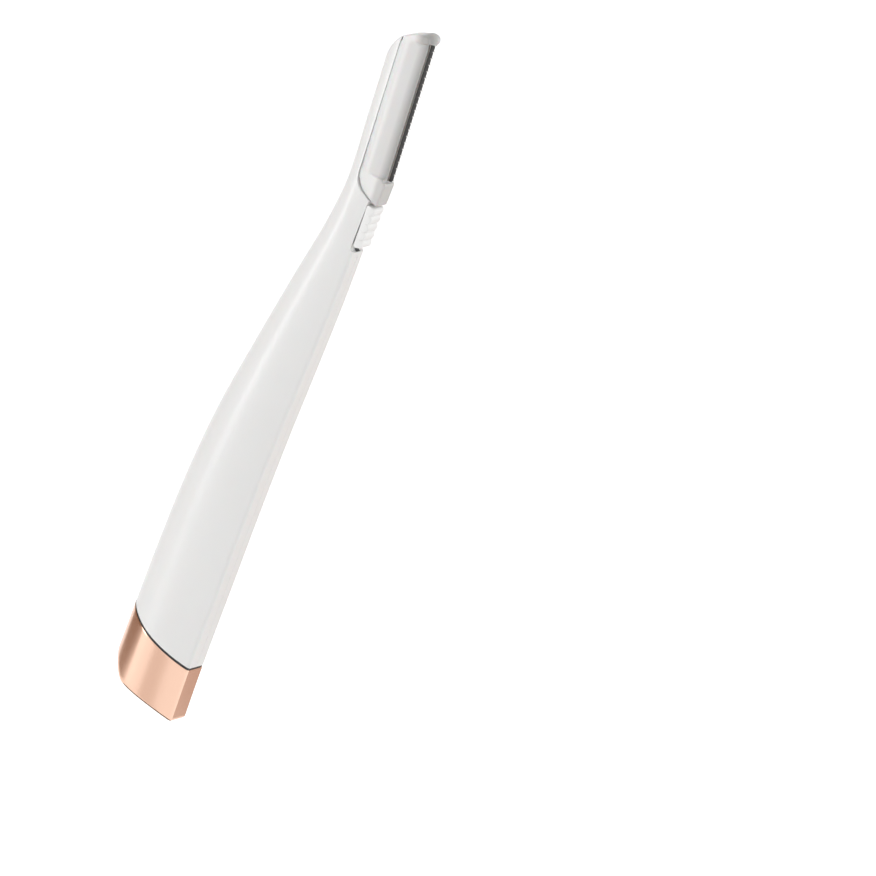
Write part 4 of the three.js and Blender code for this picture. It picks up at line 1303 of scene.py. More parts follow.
@dataclass
class EndCap:
    """The rose gold cap with its slanted base and rounded heel.

    Attributes:
        palette: The materials.
        edge: Rounding of the cap's other edges.
        wall: Thickness of the cap's wall.
        floor: Thickness of its base.
        seam_gap: Gap at the seam.
        dark_ring_inset: How far the black ring in the seam lies behind the surface.
        dark_ring_gap: Gap between the black ring and its neighbours.
        rings: Rings of each skin.
        margin: Width of the base's margin inside its rounded edge.
        edge_round: Rounding of the base's edge in front of the heel.
        heel_from: Place along X where the rounding starts to grow into the heel.
        round_steps: Facets of that rounding.
    """

    palette: Palette
    edge: Rounding = Rounding(0.16, 3)
    wall: float = 1.2
    floor: float = 1.4
    seam_gap: float = 0.5
    dark_ring_inset: float = 0.14
    dark_ring_gap: float = 0.03
    rings: int = 24
    margin: float = 0.3
    edge_round: float = 0.55
    heel_from: float = 0.5
    round_steps: int = 8

    def build(self) -> None:
        """Makes the plated shell and the black ring in the seam on its rim."""
        self.build_shell()
        self.build_dark_ring()

    def round_at(self, x: float) -> float:
        """Rounding of the base's edge at a place along X."""
        share = min(max((x - self.heel_from) / (SEAM.spine - self.heel_from), 0.0), 1.0)
        return blend(self.edge_round, SEAM.heel, share * share * (3 - 2 * share))

    def build_dark_ring(self) -> None:
        """Makes the black ring that sits in the seam and darkens it."""
        bm = bmesh.new()
        half = self.seam_gap / 2 - self.dark_ring_gap
        rings = []
        for wall, lift in (
            (self.dark_ring_inset, -half),
            (self.dark_ring_inset, half),
            (self.wall, half),
            (self.wall, -half),
        ):
            rings.append(FORM.ring(wall, lambda x, rise=lift: SEAM.height(x) + rise))
        loops = loft(bm, rings)
        bmesh.ops.bridge_loops(
            bm, edges=[*ring_edges(bm, loops[0]), *ring_edges(bm, loops[-1])]
        )
        outward(bm)
        # A black ring inside the seam gap darkens the seam line.
        finish_piece(
            bm, "seam_dark_ring", [self.palette.get(BLACK)], "end_cap", []
        )

    def build_shell(self) -> None:
        """Makes the plated shell."""
        bm = bmesh.new()
        drop = self.seam_gap / 2
        rounds = [self.round_at(point.x / MM) for point in FORM.ring(0.0, SEAM.plane)]
        rings = [FORM.ring([r + self.margin for r in rounds], SEAM.plane)]
        for step in range(self.round_steps):
            angle = step / self.round_steps * math.pi / 2
            rings.append(
                FORM.ring(
                    [r * (1 - math.sin(angle)) for r in rounds],
                    SEAM.plane,
                    [r * (1 - math.cos(angle)) for r in rounds],
                )
            )

        def floor_at(x: float) -> float:
            """Height of the cap's inner floor."""
            return SEAM.base(x, self.floor)

        def rim_at(x: float) -> float:
            """Height of the cap's rim."""
            return SEAM.height(x) - drop

        for share in shares(self.rings):
            rings.append(
                FORM.ring(
                    0.0,
                    lambda x, s=share: blend(SEAM.plane(x), rim_at(x), s),
                    [r * (1 - share) for r in rounds],
                )
            )
        rings += FORM.rings(self.wall, floor_at, rim_at, shares(self.rings)[::-1])
        loops = loft(bm, rings)
        close_across(bm, loops[0])
        close_across(bm, [vert for vert in loops[-1] if vert.is_valid])
        outward(bm)
        finish_piece(
            bm,
            "plated_end_cap",
            [self.palette.get(ROSE_GOLD)],
            "end_cap",
            ["end_cap_shell"],
            self.edge,
        )


@dataclass
class CapSpring:
    """The conical contact spring, wound as one wire with straight ends.

    Attributes:
        palette: The materials.
        x: Place of the spring's axis along X.
        bottom: Height of its lower end.
        height: Height of the spring.
        wire: Diameter of the wire.
        wide: Radius of the lowest turn.
        narrow: Radius of the uppermost turn.
        turns: Number of turns.
        steps: Steps of each turn.
        sides: Sides of the wire.
    """

    palette: Palette
    x: float = -1.9
    bottom: float = 9.1
    height: float = 3.6
    wire: float = 0.5
    wide: float = 3.8
    narrow: float = 1.6
    turns: int = 3
    steps: int = 28
    sides: int = 12

    def path(self) -> list[Vector]:
        """The wire's middle line.

        Returns:
            Its points from the lower end to the upper one.
        """
        rise = self.height - 2 * self.wire
        points = [row(self.x + self.wide, 0.0, self.bottom)]
        count = self.turns * self.steps
        for share in shares(count):
            angle = share * self.turns * 2 * math.pi
            radius = blend(self.wide, self.narrow, share)
            points.append(
                row(
                    self.x + radius * math.cos(angle),
                    radius * math.sin(angle),
                    self.bottom + self.wire + rise * share,
                )
            )
        points.append(row(self.x + self.narrow, 0.0, self.bottom + self.height))
        return points

    def build(self) -> None:
        """Makes the wound wire."""
        bm = bmesh.new()
        wire_along(bm, self.path(), self.wire, self.sides)
        outward(bm)
        finish_piece(
            bm,
            "wound_cap_spring",
            [self.palette.get(SPRING_STEEL)],
            "end_cap",
            ["cap_spring"],
        )


def wire_along(bm: BMesh, path: Sequence[Vector], diameter: float, sides: int) -> None:
    """Draws a round wire along a path and closes its ends.

    Args:
        bm: Mesh that takes the wire.
        path: Points of the wire's middle line, in metres.
        diameter: Diameter in millimetres.
        sides: Sides of the wire.
    """
    radius = diameter / 2 * MM
    tangent = (path[1] - path[0]).normalized()
    across = tangent.orthogonal().normalized()
    rings = []
    for index, point in enumerate(path):
        before = path[max(index - 1, 0)]
        after = path[min(index + 1, len(path) - 1)]
        heading = (after - before).normalized()
        across.rotate(tangent.rotation_difference(heading))
        tangent = heading
        up = tangent.cross(across)
        ring = []
        for side in range(sides):
            angle = 2 * math.pi * side / sides
            spoke = point + across * radius * math.cos(angle) + up * radius * math.sin(angle)
            ring.append(spoke)
        rings.append(ring)
    loops = loft(bm, rings)
    for loop in (loops[0], loops[-1]):
        bmesh.ops.contextual_create(bm, geom=loop)


@dataclass
class ThumbSlider:
    """The ribbed thumb slider and a black sheet of painted shade at the lower end of its recess.

    Attributes:
        palette: The materials.
        shells: The shells, for the form of the recess.
        top: Height of its upper end.
        length: Its length.
        width: Its width.
        clear: Gap between the slider and the recess's floor.
        crest: Place of the ribs' crests along X.
        ribs: Number of ribs.
        depth: Depth of the valleys between them.
        wave: How far the valleys show at the slider's inner edges.
        turn: Rounding of the lower corner.
        edge_round: Rounding of its long edges.
        crest_power: Power of the ribs' wave; a low one makes their crests broad.
        most_fall: Most that the ribbed face falls back.
        steps: Facets along and across.
        shade_sheet: Length of the black sheet of painted shade above the recess's corner.
        shade_sheet_width: Its width.
        shade_sheet_thick: Its thickness.
        shade_sheet_off: How far its middle stands off the recess.
        shade_sheet_steps: Facets across it.
    """

    palette: Palette
    shells: HandleShells
    top: float = 116.45
    length: float = 9.15
    width: float = 5.3
    clear: float = 0.02
    crest: float = -13.4
    ribs: int = 5
    depth: float = 0.42
    wave: float = 0.06
    turn: float = 0.9
    edge_round: float = 0.55
    crest_power: float = 0.6
    most_fall: float = 1.1
    steps: tuple[int, int] = (100, 22)
    shade_sheet: float = 0.15
    shade_sheet_width: float = 1.8
    shade_sheet_thick: float = 0.03
    shade_sheet_off: float = 0.05
    shade_sheet_steps: int = 4

    def fall(self, over: float) -> float:
        """How far a rounded edge falls back at a distance into its rounding."""
        return self.edge_round - math.sqrt(max(self.edge_round**2 - over**2, 0.0))

    def front(self, along: float, across: float) -> float:
        """Place of the ribbed face along X.

        Args:
            along: Share of the length, from the lower end.
            across: Place along Y.

        Returns:
            The place along X.
        """
        swing = abs(math.sin(math.pi * self.ribs * along))
        valley = self.depth * (1 - swing**self.crest_power)
        over = max(abs(across) - (self.width / 2 - self.edge_round), 0.0)
        lip = max(self.edge_round - min(along, 1 - along) * self.length, 0.0)
        return self.crest + min(valley + (self.fall(over) + self.fall(lip)), self.most_fall)

    def back(self, along: float) -> float:
        """The inner edge, which waves with the ribs and turns at the lower end.

        Args:
            along: Share of the length, from the lower end.

        Returns:
            The place along X.
        """
        floor = self.shells.recess_floor() - self.clear
        ripple = self.wave * (1 + math.cos(2 * math.pi * self.ribs * along)) / 2
        rest = max(self.turn - along * self.length, 0.0)
        return floor - ripple - (self.turn - math.sqrt(max(self.turn**2 - rest**2, 0.0)))

    def build(self) -> None:
        """Makes the slider and the black sheet of painted shade."""
        bm = bmesh.new()
        made = bmesh.ops.create_grid(
            bm, x_segments=self.steps[0], y_segments=self.steps[1], size=0.5
        )
        low = self.top - self.length
        for vert in made["verts"]:
            along = vert.co.x + 0.5
            across = vert.co.y * self.width
            vert.co = row(self.front(along, across), across, low + self.length * along)
        for vert in drawn_out(bm, open_edges(bm)):
            along = (vert.co.z / MM - SHIFT - low) / self.length
            vert.co.x = max(self.back(along) * MM, vert.co.x)
        bmesh.ops.holes_fill(bm, edges=open_edges(bm), sides=0)
        outward(bm)
        finish_piece(
            bm,
            "ribbed_thumb_slider",
            [self.palette.get(WHITE_SLIDER)],
            "slider",
            ["thumb_slider", "switch_knob"],
        )
        self.build_shade_sheet()

    def build_shade_sheet(self) -> None:
        """Makes the black sheet of painted shade that lines the recess's lower end, where its gap
        lies in shade.
        """
        bm = bmesh.new()
        path = self.shells.recess_path()[1:-1]
        path.append((path[-1][0], path[-1][1] + self.shade_sheet))
        spans, off = len(path) - 1, self.shade_sheet_off
        made = bmesh.ops.create_grid(
            bm, x_segments=spans, y_segments=self.shade_sheet_steps, size=0.5
        )
        for vert in made["verts"]:
            x, height = path[round((vert.co.x + 0.5) * spans)]
            vert.co = row(x - off, vert.co.y * self.shade_sheet_width, height + off)
        bmesh.ops.solidify(bm, geom=bm.faces, thickness=self.shade_sheet_thick * MM)
        outward(bm)
        # Painted shade: a black sheet stands in for the shade in the gap under the slider.
        finish_piece(
            bm, "recess_painted_shade_sheet", [self.palette.get(BLACK)], "handle", []
        )


@dataclass
class Cartridge:
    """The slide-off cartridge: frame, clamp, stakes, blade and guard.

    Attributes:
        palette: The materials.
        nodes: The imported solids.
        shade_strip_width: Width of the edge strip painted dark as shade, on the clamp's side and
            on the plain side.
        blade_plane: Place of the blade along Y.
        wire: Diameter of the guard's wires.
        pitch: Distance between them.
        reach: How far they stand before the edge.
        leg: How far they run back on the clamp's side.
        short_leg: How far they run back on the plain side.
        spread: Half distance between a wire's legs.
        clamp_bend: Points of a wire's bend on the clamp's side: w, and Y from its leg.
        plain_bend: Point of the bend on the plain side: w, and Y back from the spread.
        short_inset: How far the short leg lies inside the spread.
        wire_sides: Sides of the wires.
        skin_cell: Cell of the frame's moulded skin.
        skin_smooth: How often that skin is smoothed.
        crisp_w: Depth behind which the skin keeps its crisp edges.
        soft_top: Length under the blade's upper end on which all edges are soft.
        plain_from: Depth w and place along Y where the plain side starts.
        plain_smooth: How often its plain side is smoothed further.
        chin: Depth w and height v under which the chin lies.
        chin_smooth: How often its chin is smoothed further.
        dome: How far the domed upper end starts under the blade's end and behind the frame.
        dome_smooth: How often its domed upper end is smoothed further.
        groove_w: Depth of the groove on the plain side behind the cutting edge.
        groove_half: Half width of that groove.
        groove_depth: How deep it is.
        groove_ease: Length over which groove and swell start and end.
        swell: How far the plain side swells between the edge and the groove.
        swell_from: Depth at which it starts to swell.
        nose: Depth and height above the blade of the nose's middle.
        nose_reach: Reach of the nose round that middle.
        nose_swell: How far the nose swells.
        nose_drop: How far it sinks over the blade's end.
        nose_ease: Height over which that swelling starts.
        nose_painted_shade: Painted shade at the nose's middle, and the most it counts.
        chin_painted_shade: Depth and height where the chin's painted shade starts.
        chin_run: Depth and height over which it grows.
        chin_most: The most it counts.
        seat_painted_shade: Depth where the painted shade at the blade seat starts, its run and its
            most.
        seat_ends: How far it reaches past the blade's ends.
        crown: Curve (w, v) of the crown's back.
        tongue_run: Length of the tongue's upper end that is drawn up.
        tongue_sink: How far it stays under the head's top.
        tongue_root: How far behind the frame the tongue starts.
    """

    palette: Palette
    nodes: dict[str, Object]
    shade_strip_width: Pair = (0.5, 0.875)
    blade_plane: float = -0.55
    wire: float = 0.26
    pitch: float = 1.41
    reach: float = 0.32
    leg: float = 1.25
    short_leg: float = 0.08
    spread: float = 0.42
    clamp_bend: tuple[Pair, ...] = ((0.35, 0.0), (0.1, 0.04), (-0.1, 0.15))
    plain_bend: Pair = (-0.12, 0.2)
    short_inset: float = 0.12
    wire_sides: int = 8
    skin_cell: float = 0.13
    skin_smooth: int = 7
    crisp_w: float = 6.2
    soft_top: float = 1.5
    plain_from: Pair = (1.3, 0.3)
    plain_smooth: int = 30
    chin: Pair = (3.0, -0.35)
    chin_smooth: int = 14
    dome: Pair = (1.4, 0.2)
    dome_smooth: int = 30
    groove_w: float = 5.9
    groove_half: float = 0.75
    groove_depth: float = 0.14
    groove_ease: float = 1.5
    swell: float = 0.16
    swell_from: float = 1.0
    nose: Pair = (1.0, 0.7)
    nose_reach: float = 2.0
    nose_swell: float = 0.35
    nose_drop: float = 0.4
    nose_ease: float = 0.5
    nose_painted_shade: Pair = (1.35, 0.85)
    chin_painted_shade: Pair = (2.6, 0.6)
    chin_run: Pair = (1.6, 1.2)
    chin_most: float = 0.5
    seat_painted_shade: Triple = (2.6, 1.8, 0.75)
    seat_ends: float = 0.5
    crown: tuple[Pair, ...] = ((2.5, 31.5), (4.475, 31.2), (6.45, 29.85))
    tongue_run: float = 4.0
    tongue_sink: float = 0.06
    tongue_root: float = 0.07

    def build(self) -> None:
        """Makes every piece of the cartridge."""
        frosted = self.palette.get(FROSTED)
        tan = self.palette.get(TAN_CLAMP)
        self.build_frame(frosted)
        for node, material, rounding in (
            ("blade_clamp", tan, Rounding(0.08)),
            ("stake_lower", tan, Rounding(0.1)),
            ("stake_upper", tan, Rounding(0.1)),
            ("stake_pin", tan, Rounding(0.05)),
        ):
            finish_piece(
                carried(self.nodes[node]),
                f"moulded_{node}",
                [material],
                "cartridge",
                [node],
                rounding,
            )
        self.build_blade()
        self.build_guard()

    def build_frame(self, material: Material) -> None:
        """Makes the frosted frame, its edges softly moulded, with painted shade at its nose, chin
        and blade seat.

        Args:
            material: The frame's finish.
        """
        bm = carried(self.nodes["cartridge_frame"])
        bmesh.ops.triangulate(bm, faces=bm.faces)

        def mould(blank: Object) -> None:
            """Gives the blank an even skin.

            Args:
                blank: The frame.
            """
            remesh = blank.modifiers.new("moulded skin", "REMESH")
            remesh.mode = "VOXEL"
            remesh.voxel_size = self.skin_cell * MM

        bm = reshaped(bm, mould)
        smooth(bm, bm.verts)
        ahead = [vert for vert in bm.verts if self.is_soft(vert)]
        for _ in range(self.skin_smooth):
            smooth(bm, ahead)
        plain = [vert for vert in ahead if self.on_plain_side(vert)]
        for _ in range(self.plain_smooth):
            smooth(bm, plain)
        chin = [vert for vert in ahead if self.in_chin(vert)]
        for _ in range(self.chin_smooth):
            smooth(bm, chin)
        dome = [vert for vert in bm.verts if self.in_dome(vert)]
        for vert in dome:
            self.lower_crown(vert)
        for _ in range(self.dome_smooth):
            smooth(bm, dome)
        bm.normal_update()
        # Painted shade: each vertex gets the share by which the frost's colour darkens.
        layer = bm.verts.layers.float.new(PAINTED_SHADE_MARK)
        for vert in bm.verts:
            self.press_groove(vert)
            self.swell_nose(vert)
            self.raise_tongue(vert)
            vert[layer] = self.painted_shade_share(vert)
        finish_piece(
            bm,
            "moulded_cartridge_frame",
            [material],
            "cartridge",
            ["cartridge_frame"],
        )

    def place(self, vert: BMVert) -> Pair:
        """Depth and height of a vertex in the head."""
        return HEAD.locate(vert.co)

    def is_soft(self, vert: BMVert) -> bool:
        """Whether a vertex lies off the crisp back edges."""
        w, v = self.place(vert)
        return w < self.crisp_w or v > HEAD.blade_length - self.soft_top

    def on_plain_side(self, vert: BMVert) -> bool:
        """Whether a vertex lies on the plain side behind the cutting edge."""
        depth, side = self.plain_from
        return vert.co.y > side * MM and self.place(vert)[0] > depth

    def in_chin(self, vert: BMVert) -> bool:
        """Whether a vertex lies on the chin under the blade, before the neck line's bend."""
        w, v = self.place(vert)
        return w < self.chin[0] and v < self.chin[1]

    def in_dome(self, vert: BMVert) -> bool:
        """Whether a vertex lies in the domed upper end before the tongue."""
        w, v = self.place(vert)
        return v > HEAD.blade_length - self.dome[0] and w < HEAD.frame_back + self.dome[1]

    def lower_crown(self, vert: BMVert) -> None:
        """Brings the crown's back down to the curve that runs on over the head's spine.

        Args:
            vert: A vertex of the dome.
        """
        w, v = self.place(vert)
        start, pull, end = self.crown
        share = min((w - start[0]) / (end[0] - start[0]), 1.0)
        if share > 0.0:
            limit = bezier(start, pull, end, share)[1]
            vert.co -= HEAD.direction(0.0, 1.0) * max(v - limit, 0.0) * MM

    def off_nose(self, w: float, v: float) -> float:
        """Distance from the nose's middle as a share of the nose's reach."""
        rise = v - HEAD.blade_length - self.nose[1]
        return math.hypot(w - self.nose[0], rise) / self.nose_reach

    def painted_shade_share(self, vert: BMVert) -> float:
        """How much painted shade darkens the frost: at the nose, the chin and the blade seat.

        Args:
            vert: A vertex of the frame.

        Returns:
            A share, 0 where no shade is painted.
        """
        w, v = self.place(vert)
        nose = min(self.nose_painted_shade[0] - self.off_nose(w, v), self.nose_painted_shade[1])
        ahead = (self.chin_painted_shade[0] - w) / self.chin_run[0]
        under = (self.chin_painted_shade[1] - v) / self.chin_run[1]
        chin = min(ahead, under, self.chin_most)
        start, run, most = self.seat_painted_shade
        ends = min(v + self.seat_ends, HEAD.blade_length + self.seat_ends - v, 1.0)
        seat = min((start - w) / run, most, ends) if vert.co.y > 0.0 else 0.0
        return max(0.0, nose, chin, seat)

    def press_groove(self, vert: BMVert) -> None:
        """Presses the shallow groove into the frame's plain side and lets the side swell.

        Args:
            vert: A vertex of the frame.
        """
        w, v = self.place(vert)
        if vert.co.y < self.plain_from[1] * MM or not 0.0 < v < HEAD.blade_length:
            return
        ease = min(v, HEAD.blade_length - v, self.groove_ease) / self.groove_ease
        off = abs(w - self.groove_w) / self.groove_half
        if off < 1.0:
            vert.co.y -= self.groove_depth * ease * (1 - off * off) ** 2 * MM
        along = (w - self.swell_from) / (self.groove_w - self.swell_from)
        if 0.0 < along < 1.0:
            vert.co.y += self.swell * ease * math.sin(math.pi * along) * MM

    def swell_nose(self, vert: BMVert) -> None:
        """Fills the nose above the blade out to a round bulb.

        Args:
            vert: A vertex of the frame.
        """
        w, v = self.place(vert)
        off = self.off_nose(w, v)
        if off < 1.0 and v > HEAD.blade_length:
            ease = min((v - HEAD.blade_length) / self.nose_ease, 1.0)
            share = ease * (1 - off**4) * MM
            vert.co += vert.normal * Vector((1.0, 0.0, 1.0)) * self.nose_swell * share
            vert.co -= HEAD.direction(0.0, 1.0) * self.nose_drop * share

    def raise_tongue(self, vert: BMVert) -> None:
        """Draws the tongue's upper end up to the head's rounded top.

        Args:
            vert: A vertex of the frame.
        """
        w, v = self.place(vert)
        share = (v - HEAD.tongue_end) / self.tongue_run + 1.0
        if w > HEAD.frame_back + self.tongue_root and share > 0.0:
            rise = HEAD.top_at(w) - self.tongue_sink - HEAD.tongue_end
            vert.co += HEAD.direction(0.0, 1.0) * min(share, 1.0) * rise * MM

    def build_blade(self) -> None:
        """Makes the blade, with painted shade and dark reflection on its edge strip and bright
        steel on its ground land.
        """
        bm = carried(self.nodes["blade"])
        across = HEAD.direction(1.0, 0.0)
        for width in self.shade_strip_width:
            cut(bm, HEAD.point(width, 0.0, 0.0), across, lambda middle: True)
        # Faces on the edge strip take the painted shade, and the rest take the steel.
        for face in bm.faces:
            middle = face.calc_center_median()
            plain = middle.y > self.blade_plane * MM
            dark = HEAD.locate(middle)[0] < self.shade_strip_width[1 if plain else 0]
            face.material_index = 0 if dark else 1
        finish_piece(
            bm,
            "honed_blade",
            [self.palette.get(BLADE_EDGE_SHADE), self.palette.get(BLADE_STEEL)],
            "cartridge",
            ["blade"],
        )

    def build_guard(self) -> None:
        """Makes the guard: wires bent round the edge and the rail that joins them."""
        bm = bmesh.new()
        count = math.floor(HEAD.blade_length / self.pitch) + 1
        first = (HEAD.blade_length - (count - 1) * self.pitch) / 2
        low = self.blade_plane - self.spread
        high = self.blade_plane + self.spread
        bend = [
            (self.leg, low),
            *((w, low + inset) for w, inset in self.clamp_bend),
            (-self.reach, self.blade_plane),
            (self.plain_bend[0], high - self.plain_bend[1]),
            (self.short_leg, high - self.short_inset),
        ]
        for bar in range(count):
            height = first + bar * self.pitch
            path = [HEAD.point(w, y, height) for w, y in bend]
            wire_along(bm, path, self.wire, self.wire_sides)
        last = first + (count - 1) * self.pitch
        rail = [HEAD.point(self.leg, low, first), HEAD.point(self.leg, low, last)]
        wire_along(bm, rail, self.wire, self.wire_sides)
        outward(bm)
        finish_piece(
            bm,
            "wire_guard",
            [self.palette.get(GUARD_STEEL)],
            "cartridge",
            ["edge_guard"],
        )


@dataclass
class Insides:
    """The inner pieces that show once the cap or the cartridge is off.

    Attributes:
        palette: The materials.
        nodes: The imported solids.
    """

    palette: Palette
    nodes: dict[str, Object]

    def build(self) -> None:
        """Dresses every inner piece."""
        for node, finish, body, slot, width in (
            ("cap_insert", INNER_WHITE, "end_cap", "inner_plastic", 0.12),
            ("cap_contact", NICKEL, "end_cap", "nickel", 0.05),
            ("battery_cell", CELL_SLEEVE, "battery", "cell_jacket", 0.15),
            ("battery_terminal", NICKEL, "battery", "nickel", 0.1),
            ("negative_strip", NICKEL, "handle", "nickel", 0.05),
            ("positive_contact", NICKEL, "handle", "nickel", 0.05),
            ("chassis", INNER_WHITE, "handle", "inner_plastic", 0.1),
            ("circuit_board", BOARD_GREEN, "handle", "board_green", 0.05),
            ("driver_chip", BLACK, "handle", "black_plastic", 0.08),
            ("capacitor", CERAMIC, "handle", "ceramic", 0.06),
            ("inductor", BLACK, "handle", "black_plastic", 0.1),
            ("slide_switch", BLACK, "handle", "black_plastic", 0.06),
            ("led", CLEAR, "handle", "clear_lens", 0.06),
            ("light_window", CLEAR, "handle", "clear_lens", 0.06),
        ):
            finish_piece(
                carried(self.nodes[node]),
                f"dressed_{node}",
                [self.palette.get(finish)],
                body,
                [node],
                Rounding(width),
            )


# Studio


@dataclass(frozen=True)
class Lamp:
    """A soft rectangular light that faces the grip.

    Attributes:
        name: Name of the light.
        place: Its place from the grip, in metres to the picture's right, up and back.
        size: Its width and height in metres.
        watts: Its power.
    """

    name: str
    place: Triple
    size: Pair
    watts: float


@dataclass(frozen=True)
class Board:
    """A toned board that only reflections show.

    Attributes:
        name: Name of the board.
        place: Its place (X, Y, height).
        size: Its half width and half height in metres.
        tone: Its colour.
    """

    name: str
    place: Triple
    size: Pair
    tone: Triple


@dataclass
class Studio:
    """Pale floor, soft lights and the camera at the photograph's angle.

    Attributes:
        azimuth: Angle of the view round the wand, in degrees.
        elevation: Angle of the view above level.
        roll: Lean of the picture.
        lens: Focal length in millimetres.
        sensor: Width of the sensor in millimetres.
        clip: Nearest and farthest distance that the camera sees, in metres.
        image: Width of the picture in pixels.
        scale: Pixels per millimetre at the wand.
        anchor: A point of the wand (X, Y, height).
        anchor_pixel: Where that point lies in the picture.
        grip: Point that the lights face (X, Y, height).
        cap: Point that the boards face.
        lamps: The lights.
        boards: The boards.
        sky: Strength of the surroundings' light on the object.
        floor_drop: Distance of the floor under the cap's lowest corner.
        floor_size: Half width of the floor in metres.
        floor_colour: Its colour.
        floor_rough: Its roughness.
        floor_specular: Strength of its reflection.
        floor_lift: Brightness that the floor gains where it is seen.
    """

    azimuth: float = 200.0
    elevation: float = 15.0
    roll: float = 20.65
    lens: float = 1000.0
    sensor: float = 36.0
    clip: Pair = (0.1, 50.0)
    image: float = 876.0
    scale: float = 4.9
    anchor: Triple = (-11.2, 3.7, 0.0)
    anchor_pixel: Pair = (170.0, 722.5)
    grip: Triple = (-5.0, 0.0, 75.0)
    cap: Triple = (-3.0, 0.0, 8.0)
    lamps: tuple[Lamp, ...] = (
        Lamp("key", (-0.62, 0.0, 0.5), (0.3, 1.0), 4.2),
        Lamp("fill", (0.75, 0.1, -0.1), (0.5, 0.9), 2.5),
    )
    boards: tuple[Board, ...] = (
        Board("front flag", (-60.0, -260.0, -20.0), (0.16, 0.12), (0.68, 0.53, 0.46)),
        Board("spine flag", (260.0, 60.0, -20.0), (0.2, 0.14), (0.33, 0.22, 0.16)),
        Board("sole board", (-3.0, 0.0, -56.0), (0.056, 0.056), (0.2, 0.14, 0.11)),
        Board("face board", (-24.0, 80.0, -13.0), (0.012, 0.02), (0.95, 0.88, 0.85)),
    )
    sky: float = 0.66
    floor_drop: float = 75.0
    floor_size: float = 12.0
    floor_colour: Triple = (0.93, 0.93, 0.93)
    floor_rough: float = 0.9
    floor_specular: float = 0.1
    floor_lift: float = 0.45

    def axes(self) -> tuple[Vector, Vector, Vector]:
        """Directions of the camera.

        Returns:
            Right, up and backward.
        """
        a, e, r = (math.radians(angle) for angle in (self.azimuth, self.elevation, self.roll))
        back = Vector((math.sin(a) * math.cos(e), -math.cos(a) * math.cos(e), math.sin(e)))
        right = Vector((math.cos(a), math.sin(a), 0.0))
        up = back.cross(right)
        return (
            right * math.cos(r) + up * math.sin(r),
            up * math.cos(r) - right * math.sin(r),
            back,
        )

    def camera(self) -> None:
        """Makes the camera and points it so that the anchor falls on its pixel."""
        right, up, back = self.axes()
        dx = (self.anchor_pixel[0] - self.image / 2) / self.scale * MM
        dy = (self.image / 2 - self.anchor_pixel[1]) / self.scale * MM
        aim = row(*self.anchor) - right * dx - up * dy
        distance = self.lens / self.sensor * self.image / self.scale * MM
        data = bpy.data.cameras.new("studio camera")
        data.lens = self.lens
        data.sensor_width = self.sensor
        data.clip_start, data.clip_end = self.clip
        camera = bpy.data.objects.new("studio camera", data)
        turned = Matrix((right, up, back)).transposed().to_4x4()
        camera.matrix_world = Matrix.Translation(aim + back * distance) @ turned
        bpy.context.scene.collection.objects.link(camera)
        bpy.context.scene.camera = camera

    def light(self, plan: Lamp) -> None:
        """Sets a light up.

        Args:
            plan: What the light is like.
        """
        aside, above, behind = plan.place
        right, up, back = self.axes()
        grip = row(*self.grip)
        place = grip + right * aside + back * behind + up * above
        data = bpy.data.lights.new(plan.name, "AREA")
        data.shape = "RECTANGLE"
        data.size, data.size_y = plan.size
        data.energy = plan.watts
        lamp = bpy.data.objects.new(plan.name, data)
        lamp.location = place
        lamp.rotation_mode = "QUATERNION"
        lamp.rotation_quaternion = (grip - place).to_track_quat("-Z", "Y")
        bpy.context.scene.collection.objects.link(lamp)

    def seen(self, tree: NodeTree) -> NodeSocket:
        """One on rays from the camera, from a reflection or through a clear piece, else nought.

        Args:
            tree: The node tree that takes the nodes.

        Returns:
            The result's socket.
        """
        path = tree.nodes.new("ShaderNodeLightPath").outputs
        direct = math_node(tree, "MAXIMUM", path["Is Camera Ray"], path["Is Glossy Ray"])
        return math_node(tree, "MAXIMUM", direct, path["Is Transmission Ray"])

    def world(self) -> None:
        """White surroundings for the camera and for reflections, softer light on the object."""
        world = bpy.data.worlds.new("studio")
        bpy.context.scene.world = world
        world.use_nodes = True
        nodes, links = world.node_tree.nodes, world.node_tree.links
        mix = nodes.new("ShaderNodeMixShader")
        links.new(self.seen(world.node_tree), mix.inputs["Fac"])
        sky, white = nodes["Background"], nodes.new("ShaderNodeBackground")
        for slot, (ground, strength) in enumerate(((sky, self.sky), (white, 1.0)), start=1):
            ground.inputs["Color"].default_value = WHITE_LIGHT
            ground.inputs["Strength"].default_value = strength
            links.new(ground.outputs["Background"], mix.inputs[slot])
        links.new(mix.outputs["Shader"], nodes["World Output"].inputs["Surface"])

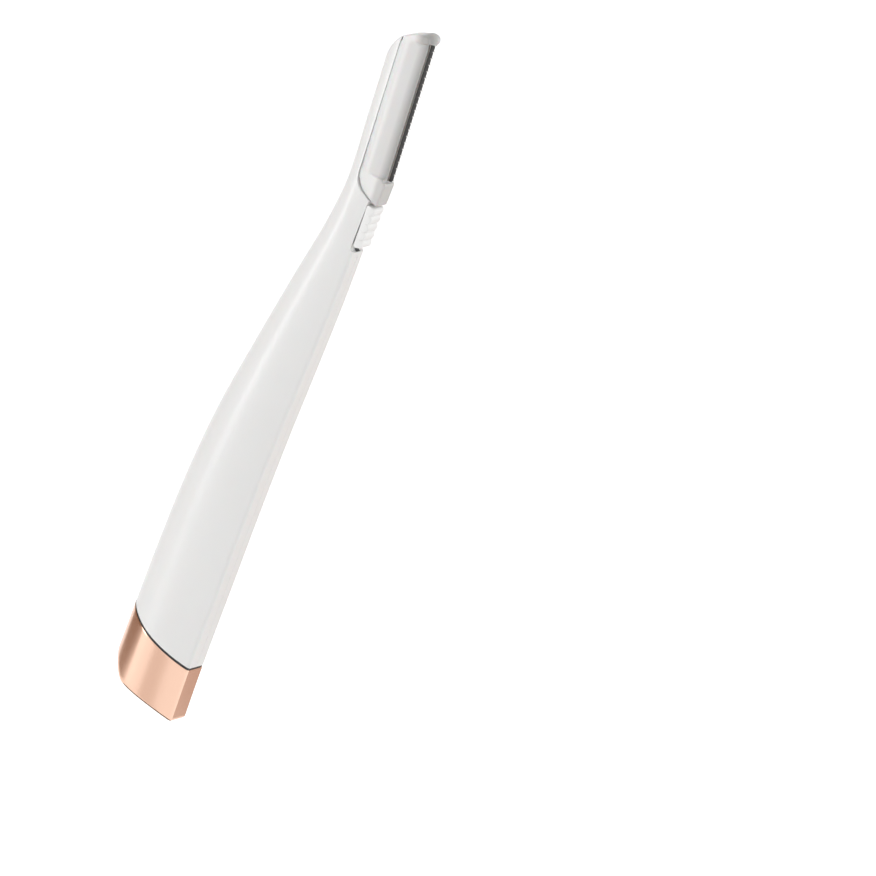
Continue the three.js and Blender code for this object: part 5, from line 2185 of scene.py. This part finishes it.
    def floor(self) -> None:
        """A wide pale floor under the wand."""
        bm = bmesh.new()
        bmesh.ops.create_grid(bm, x_segments=2, y_segments=2, size=self.floor_size)
        bmesh.ops.translate(bm, verts=bm.verts, vec=row(0.0, 0.0, -self.floor_drop))
        floor = placed(bm, "pale floor")
        material = bpy.data.materials.new("pale floor")
        material.use_nodes = True
        tree = material.node_tree
        shader = tree.nodes["Principled BSDF"]
        shader.inputs["Base Color"].default_value = (*self.floor_colour, 1.0)
        shader.inputs["Roughness"].default_value = self.floor_rough
        shader.inputs["Specular IOR Level"].default_value = self.floor_specular
        shader.inputs["Emission Color"].default_value = WHITE_LIGHT
        lift = math_node(tree, "MULTIPLY", self.seen(tree), self.floor_lift)
        tree.links.new(lift, shader.inputs["Emission Strength"])
        floor.data.materials.append(material)

    def flag(self, plan: Board) -> None:
        """Sets a board up.

        Args:
            plan: What the board is like.
        """
        place = row(*plan.place)
        turn = (row(*self.cap) - place).to_track_quat("Z", "Y").to_matrix().to_4x4()
        bm = bmesh.new()
        bmesh.ops.create_grid(bm, x_segments=1, y_segments=1, size=1.0)
        bmesh.ops.scale(bm, verts=bm.verts, vec=(*plan.size, 1.0))
        bmesh.ops.transform(bm, verts=bm.verts, matrix=Matrix.Translation(place) @ turn)
        board = placed(bm, plan.name)
        material = bpy.data.materials.new(plan.name)
        material.use_nodes = True
        shader = material.node_tree.nodes["Principled BSDF"]
        shader.inputs["Base Color"].default_value = NO_LIGHT
        shader.inputs["Specular IOR Level"].default_value = 0.0
        shader.inputs["Emission Color"].default_value = (*plan.tone, 1.0)
        shader.inputs["Emission Strength"].default_value = 1.0
        board.data.materials.append(material)
        board.visible_camera = False
        board.visible_diffuse = False
        board.visible_shadow = False
        board.visible_transmission = False

    def build(self) -> None:
        """Sets the whole studio up."""
        self.camera()
        self.world()
        self.floor()
        for plan in self.lamps:
            self.light(plan)
        for plan in self.boards:
            self.flag(plan)
        bpy.context.scene.view_settings.view_transform = "Standard"


def main() -> None:
    """Builds the wand and its studio."""
    logging.basicConfig(level=logging.INFO)
    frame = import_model()
    nodes = frame["nodes"]
    palette = Palette()
    shells = HandleShells(palette)
    for assembly in (
        shells,
        EndCap(palette),
        CapSpring(palette),
        ThumbSlider(palette, shells),
        Cartridge(palette, nodes),
        Insides(palette, nodes),
        Studio(),
    ):
        LOG.info("building %s", type(assembly).__name__)
        assembly.build()


if __name__ == "__main__":
    main()
